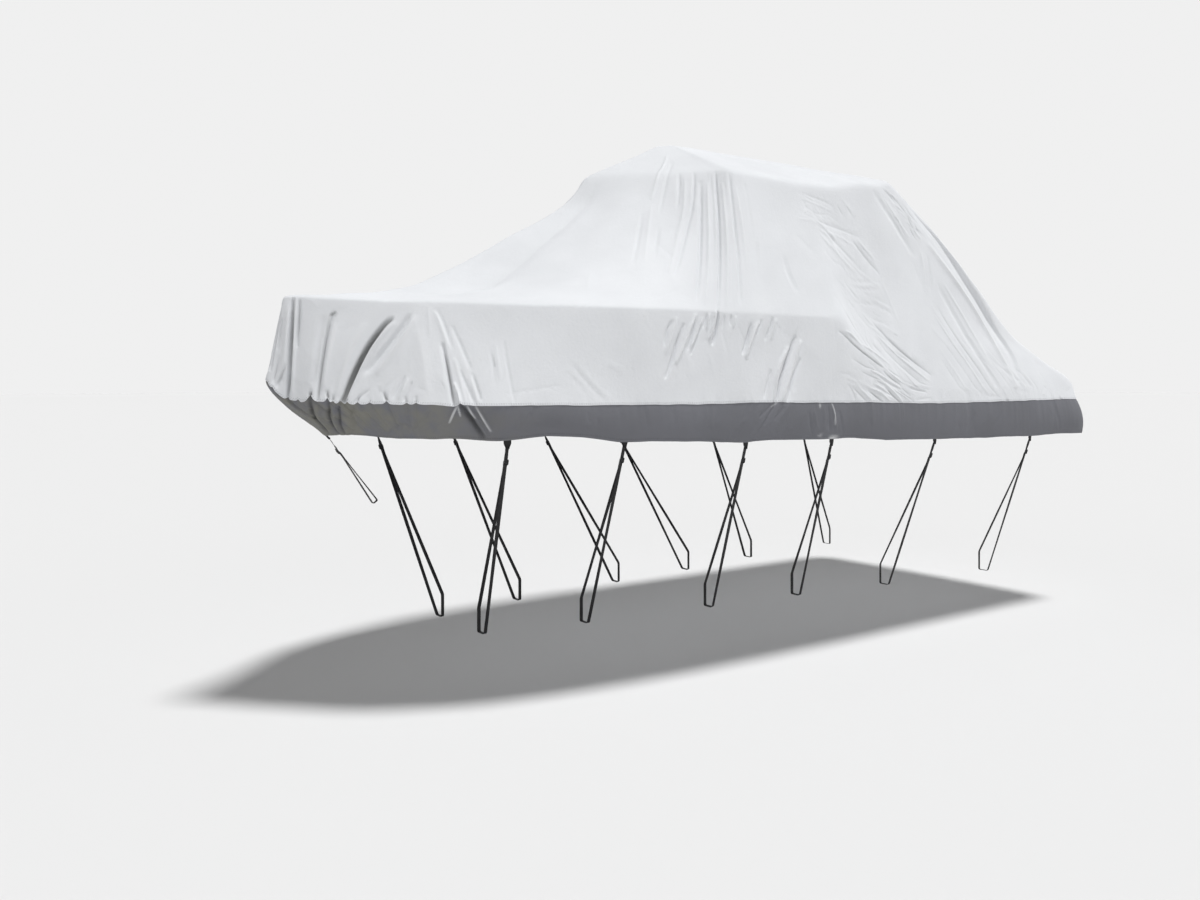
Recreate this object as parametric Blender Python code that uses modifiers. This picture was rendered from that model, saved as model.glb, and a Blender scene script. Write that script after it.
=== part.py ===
"""Fitted boat cover for a hardtop boat: one draped top cloth, a sewn skirt band and its tie-down straps.

Lengths are metres. The tables measure a point by its station (aft of the bow's tip), its half-beam (out
from the centreline) and its height (above the stern's hem). The finished model is moved so that its origin
is the underside of the cloth at the roof's peak: +X runs aft, -Y to port and +Z up.
"""
from functools import partial

import bmesh
import bpy
import numpy as np
from mathutils import Matrix, Vector

# ---- driving dimensions ----------------------------------------------------------------------------------
CLOTH = 0.002                 # thickness of the top cloth and of the skirt band
GAP = 0.0005                  # clearance between neighbouring pieces
LAP = 0.020                   # how far the top cloth's lower edge hangs over the skirt band
WEBBING = 0.025               # width of the tie-down straps
WEB_THICK = 0.002             # thickness of the strap webbing
TAB_WIDTH = 0.036
TAB_THICK = 0.004             # two layers of webbing
TAB_INSIDE = 0.030            # length of a tab sewn behind the hem
TAB_SHOWN = 0.016             # length of a tab below the hem
BUCKLE = (0.036, 0.006, 0.040)    # width, thickness and height of a slider buckle
BUCKLE_BAR = 0.006
BEAM_HEIGHT = 0.150           # trailer beam that the side straps go round
BEAM_WIDTH = 0.080
CORNER = 0.012                # bend radius of the webbing round the beam

# Girth lines. "rib" counts from the stem (0) along one side to the middle of the stern (24).
# rib, station, half-beam, height
SEAM = (
    (0, 0.00, 0.00, 0.450), (1, 0.10, 0.10, 0.352), (2, 0.22, 0.26, 0.332), (3, 0.34, 0.38, 0.326),
    (5, 0.81, 0.80, 0.317), (7, 1.50, 1.07, 0.313), (9, 2.32, 1.19, 0.311), (13, 3.55, 1.25, 0.308),
    (16, 4.45, 1.26, 0.306), (20, 6.36, 1.25, 0.302), (21, 6.56, 1.20, 0.301), (22, 6.60, 0.98, 0.300),
    (24, 6.62, 0.00, 0.300))
RAIL = (
    (0, 0.11, 0.00, 0.946), (1, 0.16, 0.06, 0.945), (2, 0.337, 0.18, 0.936), (3, 0.615, 0.38, 0.923),
    (5, 0.83, 0.53, 0.917), (6, 1.13, 0.725, 0.906), (7, 1.45, 0.90, 0.900), (8, 1.95, 1.08, 0.897),
    (9, 2.30, 1.13, 0.895), (11, 2.68, 1.16, 0.893), (13, 3.54, 1.20, 0.886), (14, 3.80, 1.21, 0.700),
    (15, 4.05, 1.22, 0.540), (16, 4.40, 1.235, 0.440), (17, 4.90, 1.24, 0.410), (20, 6.34, 1.21, 0.430),
    (21, 6.54, 1.175, 0.440), (22, 6.58, 0.97, 0.450), (24, 6.60, 0.00, 0.470))
EAVE = (
    (0, 2.285, 0.00, 1.903), (3, 2.34, 0.07, 1.903), (5, 2.38, 0.115, 1.903), (7, 2.48, 0.24, 1.902),
    (8, 2.58, 0.36, 1.900), (9, 2.77, 0.59, 1.898), (10, 2.86, 0.70, 1.897), (11, 2.94, 0.80, 1.896),
    (12, 3.23, 0.84, 1.887), (13, 3.50, 0.86, 1.870), (16, 3.85, 0.875, 1.878), (17, 4.15, 0.87, 1.935),
    (18, 4.38, 0.865, 1.950), (19, 4.50, 0.855, 1.975), (20, 4.53, 0.84, 1.990), (21, 4.54, 0.82, 2.000),
    (22, 4.55, 0.72, 2.010), (24, 4.565, 0.00, 2.024))
HEM = (
    (0, 0.36, 0.00, 0.124), (1, 0.42, 0.15, 0.132), (2, 0.50, 0.28, 0.130), (3, 0.58, 0.38, 0.124),
    (5, 0.82, 0.63, 0.120), (6, 1.04, 0.90, 0.113), (7, 1.50, 1.06, 0.110), (9, 2.32, 1.18, 0.078),
    (11, 2.75, 1.21, 0.062), (13, 3.55, 1.235, 0.055), (16, 4.45, 1.245, 0.030), (20, 6.40, 1.25, 0.004),
    (21, 6.635, 1.21, 0.003), (22, 6.68, 0.98, 0.003), (24, 6.70, 0.00, 0.003))
PEAK = (3.00, 0.0, 2.208)
ROOF_CAP = 0.10               # share of the roof, round the peak, that lies level

# How the cloth hangs below a straight line from the rail (0) up to the eave (1).
# share of the way up, dip as a share of the rise
BOW_DIP = (
    (0.00, 0.000), (0.05, 0.032), (0.10, 0.078), (0.175, 0.130), (0.30, 0.222), (0.405, 0.267),
    (0.515, 0.251), (0.676, 0.211), (0.81, 0.180), (0.94, 0.106), (1.00, 0.000))
HIP_DIP = ((0.00, 0.0), (0.15, 0.052), (0.36, 0.110), (0.565, 0.054), (0.735, 0.010), (1.00, 0.0))
BOW_RIBS = (3.0, 10.0)        # the bow's dip fades out between these ribs
HIP_RIBS = (17.0, 20.5)       # the stern's dip fades in between these ribs
SIDE_SAG = 0.040              # inward sag of the sides, halfway from rail to eave
SAG_DROP = 0.3                # downward share of that sag
NOSE_LIFT = (1.1, 0.7, 0.070)     # starboard rib where the seam rides up, its spread in ribs, its height
BAND_BULGE = 0.012            # outward curve of the skirt band at mid-height
STERN_BULGE = 0.048           # the same round the stern's corners
BOW_BULGE = 0.040             # the same round the stem
STEM_RIBS = (0.0, 2.5)        # it fades out between these ribs
STERN_RIBS = (18.0, 21.0)     # it grows between these ribs
STRAP_PULL = (0.5, 0.012)     # spread in ribs and depth of the hem's dip at each strap
FOLD_ENDS = 0.35              # share of a fold's height left at its two ends

# ribs from, to, columns per rib
COLUMNS = ((0, 7, 3), (7, 21, 2), (21, 24, 1))
# level: 0 seam, 1 rail, 2 eave, 3 peak; the second row lies LAP above the seam
LEVELS = (0.0, None, 0.35, 0.68, 1.0, 1.06, 1.16, 1.32, 1.53, 1.77, 1.93, 2.0, 2.45, 2.9)

# Main folds: side (-1 port, 1 starboard), rib and level of both ends, height (minus is a trough), half-width
FOLDS = (
    (-1, 2.0, 0.90, 2.0, 0.00, -0.022, 0.040),
    (-1, 3.0, 0.92, 3.0, 0.00, -0.050, 0.045),
    (-1, 2.5, 0.80, 2.5, 0.10, 0.018, 0.050),
    (-1, 3.67, 0.90, 3.67, 0.05, 0.026, 0.060),
    (-1, 0.67, 0.95, 1.0, 0.00, -0.020, 0.035),
    (-1, 5.0, 0.98, 5.0, 0.00, 0.026, 0.045),
    (-1, 4.6, 0.80, 4.67, 0.00, -0.020, 0.045),
    (-1, 6.0, 0.95, 6.33, 0.05, -0.014, 0.060),
    (-1, 9.0, 2.00, 9.0, 1.00, 0.018, 0.070),
    (-1, 9.5, 1.95, 9.5, 0.70, -0.018, 0.070),
    (-1, 10.5, 1.98, 10.0, 0.75, 0.020, 0.070),
    (-1, 11.0, 1.98, 10.5, 1.00, -0.016, 0.070),
    (-1, 12.5, 1.80, 14.5, 1.10, -0.022, 0.100),
    (-1, 13.5, 1.80, 16.0, 1.15, 0.020, 0.100),
    (-1, 19.0, 1.95, 17.5, 0.90, -0.024, 0.110),
    (-1, 20.0, 1.90, 19.0, 0.95, 0.022, 0.100),
    (-1, 13.0, 1.05, 15.5, 0.40, 0.024, 0.060),
    (-1, 11.5, 0.95, 11.0, 0.05, -0.016, 0.080),
    (1, 1.67, 0.90, 2.0, 0.00, -0.022, 0.045),
    (1, 3.0, 0.95, 2.67, 0.00, 0.020, 0.050),
    (1, 3.67, 0.92, 3.33, 0.00, -0.040, 0.050),
    (1, 5.0, 0.95, 5.33, 0.00, 0.022, 0.050),
    (1, 8.5, 1.95, 8.0, 1.00, -0.018, 0.080),
    (1, 9.5, 1.98, 9.5, 0.95, 0.018, 0.075),
    (1, 10.5, 1.95, 10.0, 0.80, -0.018, 0.080),
    (1, 12.5, 1.85, 15.0, 1.05, 0.020, 0.110),
    (1, 13.5, 1.85, 16.5, 1.00, -0.020, 0.100),
    (1, 18.5, 1.95, 17.0, 0.90, -0.022, 0.110),
    (1, 20.0, 1.85, 19.5, 0.90, 0.022, 0.100),
    (1, 22.5, 1.90, 22.0, 0.60, -0.024, 0.100),
    (-1, 22.5, 1.90, 22.5, 0.60, 0.022, 0.110),
    (-1, 23.5, 1.85, 23.5, 0.50, -0.020, 0.120),
)

# Side straps: rib at the hem, then the station, half-beam and height of the beam's outer lower edge
STRAPS = (
    (6.11, 1.27, 0.33, -1.13),
    (7.62, 1.96, 0.47, -1.13),
    (10.67, 2.94, 0.59, -1.13),
    (12.73, 3.73, 0.67, -1.13),
    (16.25, 4.58, 0.80, -1.13),
    (18.60, 5.73, 0.90, -1.13),
)
BUCKLE_DROP = 0.110           # from the tab to the buckle's middle
LEGS_APART = 0.0035           # between the two legs of a strap at its buckle
BOW_STRAP_END = (0.67, 0.0, -0.28)
BOW_LOOP = 0.034              # width of the bow strap's loop at its far end
BOW_TAB_SET = 0.003           # extra room behind the curved stem

TOP_GREY = (0.80, 0.82, 0.84)
SKIRT_GREY = (0.155, 0.157, 0.168)
WEB_BLACK = (0.012, 0.012, 0.013)
BUCKLE_BLACK = (0.018, 0.018, 0.020)


def clear_scene():
    for item in list(bpy.data.objects):
        bpy.data.objects.remove(item, do_unlink=True)


def finish(name, colour, roughness):
    """A plain Principled material."""
    material = bpy.data.materials.new(name)
    material.use_nodes = True
    shader = material.node_tree.nodes["Principled BSDF"]
    shader.inputs["Base Color"].default_value = (*colour, 1.0)
    shader.inputs["Roughness"].default_value = roughness
    return material


# ---- shape of the cloth ----------------------------------------------------------------------------------
def curve(table, at, column):
    """A smooth curve through one column of a table, with no overshoot between its rows.

    The half-beam (column 2) runs straight through both ends; the others level off on the centreline.
    """
    key = np.array([row[0] for row in table], float)
    value = np.array([row[column] for row in table], float)
    step = np.diff(key)
    slope = np.diff(value) / step
    tangent = np.zeros(len(key))
    if column == 2:
        tangent[0], tangent[-1] = slope[0], slope[-1]
    for i in range(1, len(key) - 1):
        if slope[i - 1] * slope[i] > 0:
            before = 2 * step[i] + step[i - 1]
            after = step[i] + 2 * step[i - 1]
            tangent[i] = (before + after) / (before / slope[i - 1] + after / slope[i])
    at = np.clip(np.asarray(at, float), key[0], key[-1])
    i = np.clip(np.searchsorted(key, at, side="right") - 1, 0, len(step) - 1)
    t = (at - key[i]) / step[i]
    return ((1 + 2 * t) * (1 - t) ** 2 * value[i] + t * (1 - t) ** 2 * step[i] * tangent[i]
            + t * t * (3 - 2 * t) * value[i + 1] + t * t * (t - 1) * step[i] * tangent[i + 1])


def fade(start, end, at):
    """0 before start, 1 after end, with a smooth change between."""
    t = np.clip((at - start) / (end - start), 0, 1)
    return t * t * (3 - 2 * t)


def girth_line(table, rib):
    """Points on a girth line; port ribs are negative and starboard ribs positive."""
    count = np.abs(rib)
    out = [curve(table, count, 1), np.sign(rib) * curve(table, count, 2), curve(table, count, 3)]
    return np.stack(out, -1)


def seam_line(rib):
    """The seam rides up a little on the starboard side of the stem."""
    place, spread, lift = NOSE_LIFT
    line = girth_line(SEAM, rib)
    line[..., 2] += lift * np.exp(-((rib - place) / spread) ** 2)
    return line


def base_surface(rib, level):
    """The top cloth without its folds."""
    seam, rail, eave = seam_line(rib), girth_line(RAIL, rib), girth_line(EAVE, rib)
    wall = np.clip(level, 0, 1)[..., None]
    slope = np.clip(level - 1, 0, 1)[..., None]
    roof = np.clip(level - 2, 0, 1)[..., None]
    point = seam + (rail - seam) * wall + (eave - rail) * slope
    climb = np.minimum(roof / (1 - ROOF_CAP), 1)
    point += (np.array(PEAK) - eave) * np.concatenate([roof, roof, climb], -1)
    up = slope[..., 0]
    bow = 1 - fade(*BOW_RIBS, np.abs(rib))
    hip = fade(*HIP_RIBS, np.abs(rib))
    rise = (eave - rail)[..., 2]
    hang = SIDE_SAG * 4 * up * (1 - up) * (1 - bow) * (1 - hip)
    point[..., 2] -= (bow * curve(BOW_DIP, up, 1) + hip * curve(HIP_DIP, up, 1)) * rise + SAG_DROP * hang
    point[..., 1] -= np.sign(rib) * hang
    return point


def grid_normals(grid):
    """Outward normals of a closed grid (columns round the boat, rows upwards)."""
    along = np.roll(grid, -1, 0) - np.roll(grid, 1, 0)
    up = np.empty_like(grid)
    up[:, 1:-1] = grid[:, 2:] - grid[:, :-2]
    up[:, 0] = grid[:, 1] - grid[:, 0]
    up[:, -1] = grid[:, -1] - grid[:, -2]
    normal = np.cross(up, along)
    return normal / np.linalg.norm(normal, axis=-1, keepdims=True)


def to_line(points, line):
    """Distance from each point to a polyline, and how far along it (0 to 1) the nearest place is."""
    nearest = np.full(points.shape[:-1], np.inf)
    share = np.zeros(points.shape[:-1])
    count = len(line) - 1
    for i in range(count):
        run = line[i + 1] - line[i]
        t = np.clip(((points - line[i]) @ run) / (run @ run), 0, 1)
        gap = np.linalg.norm(points - line[i] - t[..., None] * run, axis=-1)
        closer = gap < nearest
        nearest = np.where(closer, gap, nearest)
        share = np.where(closer, (i + t) / count, share)
    return nearest, share


def folded(grid):
    """The grid with every fold of the table pressed in or raised along its normals."""
    height = np.zeros(grid.shape[:-1])
    for side, rib_a, level_a, rib_b, level_b, rise, half_width in FOLDS:
        t = np.linspace(0, 1, 9)
        line = base_surface(side * (rib_a + (rib_b - rib_a) * t), level_a + (level_b - level_a) * t)
        gap, share = to_line(grid, line)
        swell = FOLD_ENDS + (1 - FOLD_ENDS) * np.sin(np.pi * np.clip(share, 0.0, 1.0)) ** 0.5
        height += rise * swell * np.exp(-((gap / half_width) ** 2))
    return grid + grid_normals(grid) * height[..., None]


def columns():
    """Rib values once round the boat: port from stern to stem, then starboard from stem to stern."""
    half = [first + i / share for first, last, share in COLUMNS for i in range((last - first) * share)]
    return np.array([-24.0] + [-rib for rib in reversed(half)] + half[1:])


def cover_grid():
    rib, level = np.meshgrid(columns(), np.array(LEVELS, float), indexing="ij")
    wall = np.linalg.norm(girth_line(RAIL, rib[:, 1]) - seam_line(rib[:, 1]), axis=-1)
    level[:, 1] = LAP / wall
    return folded(base_surface(rib, level))


def band_grid(cover_mesh):
    """The skirt band: its top edge lies behind the cloth's lower edge, then it falls to the hem."""
    rib = columns()
    cover_mesh.normal_update()
    behind = [vert.co - vert.normal * (CLOTH + GAP) for vert in cover_mesh.verts]
    behind = np.array(behind[:len(rib) * len(LEVELS)]).reshape(len(rib), len(LEVELS), 3)
    seam, top = behind[:, 0], behind[:, 1]
    hem = girth_line(HEM, rib)
    spread, depth = STRAP_PULL
    for strap in STRAPS:
        hem[:, 2] -= depth * np.exp(-((np.abs(rib) - strap[0]) / spread) ** 2)
    out = np.cross((0, 0, 1), np.roll(hem, -1, 0) - np.roll(hem, 1, 0))
    out /= np.linalg.norm(out, axis=-1, keepdims=True)
    bulge = BAND_BULGE + (STERN_BULGE - BAND_BULGE) * fade(*STERN_RIBS, np.abs(rib))
    bulge += (BOW_BULGE - BAND_BULGE) * (1 - fade(*STEM_RIBS, np.abs(rib)))
    middle = (seam + hem) / 2 + out * bulge[:, None]
    return np.stack([hem, middle, seam, top], 1)


# ---- making the pieces -----------------------------------------------------------------------------------
def add_piece(name, bm, material, collection, origin):
    """A mesh object whose mesh is measured from the model's origin."""
    bmesh.ops.translate(bm, verts=bm.verts, vec=-Vector(origin))
    mesh = bpy.data.meshes.new(name)
    bm.to_mesh(mesh)
    bm.free()
    mesh.materials.append(material)
    piece = bpy.data.objects.new(name, mesh)
    collection.objects.link(piece)
    return piece


def loft(grid, tip=None):
    """Triangles over a closed grid of points, with a fan up to the tip where there is one."""
    bm = bmesh.new()
    rows = [[bm.verts.new(point) for point in column] for column in grid]
    count = len(rows)
    for i in range(count):
        here, there = rows[i], rows[(i + 1) % count]
        for j in range(len(here) - 1):
            bm.faces.new((here[j], here[j + 1], there[j]))
            bm.faces.new((there[j], here[j + 1], there[j + 1]))
    if tip is not None:
        top = bm.verts.new(tip)
        for i in range(count):
            bm.faces.new((rows[i][-1], top, rows[(i + 1) % count][-1]))
    return bm


def thicken(piece):
    """Cloth thickness inside the outer surface."""
    solid = piece.modifiers.new("cloth", "SOLIDIFY")
    solid.thickness = CLOTH
    solid.offset = -1.0
    solid.use_rim = True


def facet_frame(band, rib):
    """Place, fore-and-aft direction, outward normal and upward direction of the hem at a rib."""
    ring = columns()
    i = int(np.searchsorted(ring, rib))
    share = (rib - ring[i - 1]) / (ring[i] - ring[i - 1])
    hem = Vector(band[i - 1, 0] + (band[i, 0] - band[i - 1, 0]) * share)
    if rib == ring[i]:
        along, rise = Vector(band[i + 1, 0] - band[i - 1, 0]), Vector(band[i, 1] - band[i, 0])
    else:
        along, rise = Vector(band[i, 0] - band[i - 1, 0]), Vector(band[i - 1, 1] - band[i - 1, 0])
    out = rise.cross(along).normalized()
    return hem, along.normalized(), out, along.cross(out).normalized()


def block(centre, axes, size):
    """A box with its own right-handed axes."""
    bm = bmesh.new()
    for vert in bmesh.ops.create_cube(bm, size=1.0)["verts"]:
        vert.co = centre + sum((a * c * s for a, c, s in zip(axes, vert.co, size)), Vector())
    return bm


def rounded(corners, steps=2):
    """A path through corner points, each inner corner turned on a short curve."""
    path = [corners[0]]
    for before, corner, after in zip(corners, corners[1:], corners[2:]):
        reach = min(CORNER, 0.45 * (before - corner).length, 0.45 * (after - corner).length)
        start = corner + (before - corner).normalized() * reach
        end = corner + (after - corner).normalized() * reach
        for k in range(steps + 1):
            t = k / steps
            path.append(start * (1 - t) ** 2 + corner * 2 * t * (1 - t) + end * t * t)
    return path + [corners[-1]]


def ribbon(path, top_across, low_across, top_face):
    """Flat webbing swept along a path: it lies along the hem as far as its buckle, then turns.

    The two wide faces are split along the same diagonals, so the webbing keeps its thickness as it turns.
    """
    bm = bmesh.new()
    rings = []
    last = len(path) - 1
    for i, point in enumerate(path):
        across = top_across if i in (0, 1, last) else low_across
        run_in = (point - path[max(i - 1, 0)]).normalized()
        run_out = (path[min(i + 1, last)] - point).normalized()
        run = (run_in + run_out).normalized()
        face = across.cross(run).normalized() / max(run.dot(run_out), 0.5)
        if i == 0:
            face = top_face if face.dot(top_face) > 0 else -top_face
        side = across * (WEBBING / 2)
        half = face * (WEB_THICK / 2)
        section = (side + half, half - side, -side - half, side - half)
        rings.append([bm.verts.new(point + offset) for offset in section])
    for here, there in zip(rings, rings[1:]):
        for k, n in ((0, 1), (3, 2), (1, 2), (0, 3)):
            bm.faces.new((here[k], here[n], there[n]))
            bm.faces.new((here[k], there[n], there[k]))
    bm.faces.new(reversed(rings[0]))
    bm.faces.new(rings[-1])
    bmesh.ops.recalc_face_normals(bm, faces=bm.faces)
    return bm


def side_strap(top, side, beam):
    """Corners from the tab to the beam's outer lower edge, under the beam and back up to the buckle."""
    _, station, half_beam, low = beam
    outer = Vector((station, side * half_beam, low))
    inner = outer - Vector((0, side * BEAM_WIDTH, 0))
    rise = Vector((0, 0, BEAM_HEIGHT))
    down = (outer - top).normalized()
    end = top + down * BUCKLE_DROP - Vector((0, side, 0)) * LEGS_APART
    return [top, outer, inner, inner + rise, end]


def bow_strap(top):
    """Corners from the stem's tab down to the bow eye and back up to the buckle."""
    far = Vector(BOW_STRAP_END)
    down = (far - top).normalized()
    off = Vector((down.z, 0, -down.x))
    outer, inner = far + off * BOW_LOOP / 2, far - off * BOW_LOOP / 2
    tip = down * BOW_LOOP / 2
    end = top + down * BUCKLE_DROP - off * LEGS_APART
    return [top, outer, outer + tip, inner + tip, inner, end]


def slider_outline(material):
    """The outline of a slider buckle: a rectangle with clipped corners and two slots."""
    outline = bpy.data.curves.new("slider", "CURVE")
    outline.materials.append(material)
    outline.dimensions = "2D"
    outline.fill_mode = "BOTH"
    outline.extrude = BUCKLE[1] / 2
    half_width, half_height = BUCKLE[0] / 2, BUCKLE[2] / 2
    clip, bar = BUCKLE_BAR / 2, BUCKLE_BAR
    right, top = half_width - clip, half_height - clip
    outer = ((half_width, -top), (half_width, top), (right, half_height), (-right, half_height),
             (-half_width, top), (-half_width, -top), (-right, -half_height), (right, -half_height))
    inside = half_width - bar
    slots = [((-inside, low), (inside, low), (inside, high), (-inside, high))
             for low, high in ((bar / 2, half_height - bar), (bar - half_height, -bar / 2))]
    for points in (outer, *slots):
        spline = outline.splines.new("POLY")
        spline.points.add(len(points) - 1)
        spline.use_cyclic_u = True
        for point, (x, y) in zip(spline.points, points):
            point.co = (x, y, 0, 1)
    return outline


def fasten(label, frame, corners, extra, low_across, outline, origin, webbing, collection):
    """One tie-down: its tab behind the hem, its strap, and the slider buckle on the strap's outer face."""
    hem, along, out, up = frame
    middle = hem - out * (CLOTH + GAP + extra + TAB_THICK / 2)
    tab = block(middle + up * (TAB_INSIDE - TAB_SHOWN) / 2, (up, along, out),
                (TAB_INSIDE + TAB_SHOWN, TAB_WIDTH, TAB_THICK))
    add_piece("tab_" + label, tab, webbing, collection, origin)
    top = middle - up * (TAB_SHOWN + GAP)
    path = rounded(corners(top))
    down = (path[1] - path[0]).normalized()
    path.insert(1, top + down * (BUCKLE_DROP + BUCKLE[2]))
    top_across = along if along.dot(low_across) > 0 else -along
    add_piece("strap_" + label, ribbon(path, top_across, low_across, out), webbing, collection, origin)
    face = top_across.cross(down).normalized()
    face = face if face.dot(out) > 0 else -face
    buckle = bpy.data.objects.new("buckle_" + label, outline)
    place = top + down * BUCKLE_DROP + face * (WEB_THICK / 2 + GAP + BUCKLE[1] / 2) - Vector(origin)
    turn = Matrix((face.cross(down), -down, face)).transposed().to_4x4()
    buckle.matrix_world = Matrix.Translation(place) @ turn
    collection.objects.link(buckle)


def build():
    clear_scene()
    collection = bpy.data.collections.new("boat_cover")
    bpy.context.scene.collection.children.link(collection)
    top_cloth = finish("coated polyester, light grey", TOP_GREY, 0.85)
    skirt_cloth = finish("coated polyester, dark grey", SKIRT_GREY, 0.85)
    webbing = finish("polypropylene webbing, black", WEB_BLACK, 0.75)
    moulded = finish("acetal, black", BUCKLE_BLACK, 0.45)

    cover = loft(cover_grid(), PEAK)
    band = band_grid(cover)
    origin = Vector(PEAK) - Vector((0, 0, CLOTH))
    thicken(add_piece("cover_top", cover, top_cloth, collection, origin))
    thicken(add_piece("skirt_band", loft(band), skirt_cloth, collection, origin))

    outline = slider_outline(moulded)
    fore_and_aft = Vector((1, 0, 0))
    stem = facet_frame(band, 0.0)
    fasten("bow", stem, bow_strap, BOW_TAB_SET, stem[1], outline, origin, webbing, collection)
    for side, hand in ((-1, "port"), (1, "starboard")):
        for number, beam in enumerate(STRAPS, 1):
            corners = partial(side_strap, side=side, beam=beam)
            fasten(f"{hand}_{number}", facet_frame(band, side * beam[0]), corners, 0.0, fore_and_aft,
                   outline, origin, webbing, collection)


build()
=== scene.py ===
"""Looks of a fitted cover for a hardtop boat: a draped top cloth, a skirt band, stitching and tie-downs.

Lengths are metres. The shape tables measure a point by its station (aft of the bow's tip), its half-beam
(out from the centreline) and its height (above the stern's hem), and HOME is the model's origin in those
terms. "rib" counts from the stem (0) along one side to the middle of the stern (24): port ribs are negative.
"level" climbs the cloth: 0 lower edge, 1 bow rail, 2 roof's edge, 3 roof's peak.
"""
import math

import bmesh
import bpy
import numpy as np
from mathutils import Matrix, Vector


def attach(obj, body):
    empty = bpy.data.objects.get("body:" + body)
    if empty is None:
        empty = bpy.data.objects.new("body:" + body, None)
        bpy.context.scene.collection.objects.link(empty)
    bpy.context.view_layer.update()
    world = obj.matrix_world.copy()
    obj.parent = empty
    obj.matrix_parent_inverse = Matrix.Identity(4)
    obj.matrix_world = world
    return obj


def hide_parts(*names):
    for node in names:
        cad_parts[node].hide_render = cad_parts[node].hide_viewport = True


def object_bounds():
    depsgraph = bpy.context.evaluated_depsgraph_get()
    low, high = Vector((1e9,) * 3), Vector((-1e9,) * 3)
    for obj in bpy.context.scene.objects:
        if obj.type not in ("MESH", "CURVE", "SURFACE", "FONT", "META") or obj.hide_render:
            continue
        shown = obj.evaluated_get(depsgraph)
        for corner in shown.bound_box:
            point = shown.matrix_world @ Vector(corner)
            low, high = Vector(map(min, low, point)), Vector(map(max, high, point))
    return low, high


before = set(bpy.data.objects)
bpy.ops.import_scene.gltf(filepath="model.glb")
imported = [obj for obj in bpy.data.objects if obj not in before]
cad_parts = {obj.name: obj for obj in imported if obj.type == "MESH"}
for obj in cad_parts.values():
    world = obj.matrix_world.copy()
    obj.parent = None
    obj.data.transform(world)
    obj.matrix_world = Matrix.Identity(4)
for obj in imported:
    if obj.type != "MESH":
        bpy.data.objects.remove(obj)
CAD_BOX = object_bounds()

bl_info = {
    "name": "Fitted boat cover",
    "version": (1, 0, 0),
    "blender": (4, 5, 0),
    "location": "View3D > Sidebar > Boat Cover",
    "description": "Makes the cloth, band, stitching and tie-downs of a fitted boat cover",
    "category": "Object",
}


def linear(code):
    """Linear colour of an sRGB hex code."""
    parts = [int(code[i:i + 2], 16) / 255 for i in (1, 3, 5)]
    return tuple(c / 12.92 if c <= 0.04045 else ((c + 0.055) / 1.055) ** 2.4 for c in parts)


# ---- the cover's shape -----------------------------------------------------------------------------------
HOME = np.array((3.00, 0.0, 2.206))
CLOTH = 0.0016                # thickness of the coated cloth as it shows
GAP = 0.0012                  # air between the top cloth's edge and the band behind it
LAP = 0.020                   # how far the top cloth's lower edge hangs over the band
TAB_INSIDE = 0.030            # how far a tab runs up behind the hem
TAB_SHOWN = 0.016             # how far its solid shows below the hem
STRAP_GAP = 0.0005            # between a tab and the top of its strap
BUCKLE_DROP = 0.110           # from the tab to the buckle's middle
LEGS_APART = 0.0035           # between the two legs of a strap where they meet below its buckle

# rib, station, half-beam, height
SEAM = (
    (0, 0.00, 0.00, 0.450), (1, 0.10, 0.10, 0.352), (2, 0.22, 0.26, 0.332), (3, 0.34, 0.38, 0.326),
    (5, 0.81, 0.80, 0.317), (7, 1.50, 1.07, 0.313), (9, 2.32, 1.19, 0.311), (13, 3.55, 1.25, 0.308),
    (16, 4.45, 1.26, 0.306), (20, 6.36, 1.25, 0.302), (21, 6.56, 1.20, 0.301), (22, 6.60, 0.98, 0.300),
    (24, 6.62, 0.00, 0.300))
RAIL = (
    (0, 0.11, 0.00, 0.946), (1, 0.16, 0.06, 0.945), (2, 0.337, 0.18, 0.936), (3, 0.615, 0.38, 0.923),
    (5, 0.83, 0.53, 0.917), (6, 1.13, 0.725, 0.906), (7, 1.45, 0.90, 0.900), (8, 1.95, 1.08, 0.897),
    (9, 2.30, 1.13, 0.895), (11, 2.68, 1.16, 0.893), (13, 3.54, 1.20, 0.886), (14, 3.80, 1.21, 0.700),
    (15, 4.05, 1.22, 0.540), (16, 4.40, 1.235, 0.440), (17, 4.90, 1.24, 0.410), (20, 6.34, 1.21, 0.430),
    (21, 6.54, 1.175, 0.440), (22, 6.58, 0.97, 0.450), (24, 6.60, 0.00, 0.470))
EAVE = (
    (0, 2.285, 0.00, 1.903), (3, 2.34, 0.07, 1.903), (5, 2.38, 0.115, 1.903), (7, 2.48, 0.24, 1.902),
    (8, 2.58, 0.36, 1.900), (9, 2.77, 0.59, 1.898), (10, 2.86, 0.70, 1.897), (11, 2.94, 0.80, 1.896),
    (12, 3.23, 0.84, 1.887), (13, 3.50, 0.86, 1.870), (16, 3.85, 0.875, 1.878), (17, 4.15, 0.87, 1.935),
    (18, 4.38, 0.865, 1.950), (19, 4.50, 0.855, 1.975), (20, 4.53, 0.84, 1.990), (21, 4.54, 0.82, 2.000),
    (22, 4.55, 0.72, 2.010), (24, 4.565, 0.00, 2.024))
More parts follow.
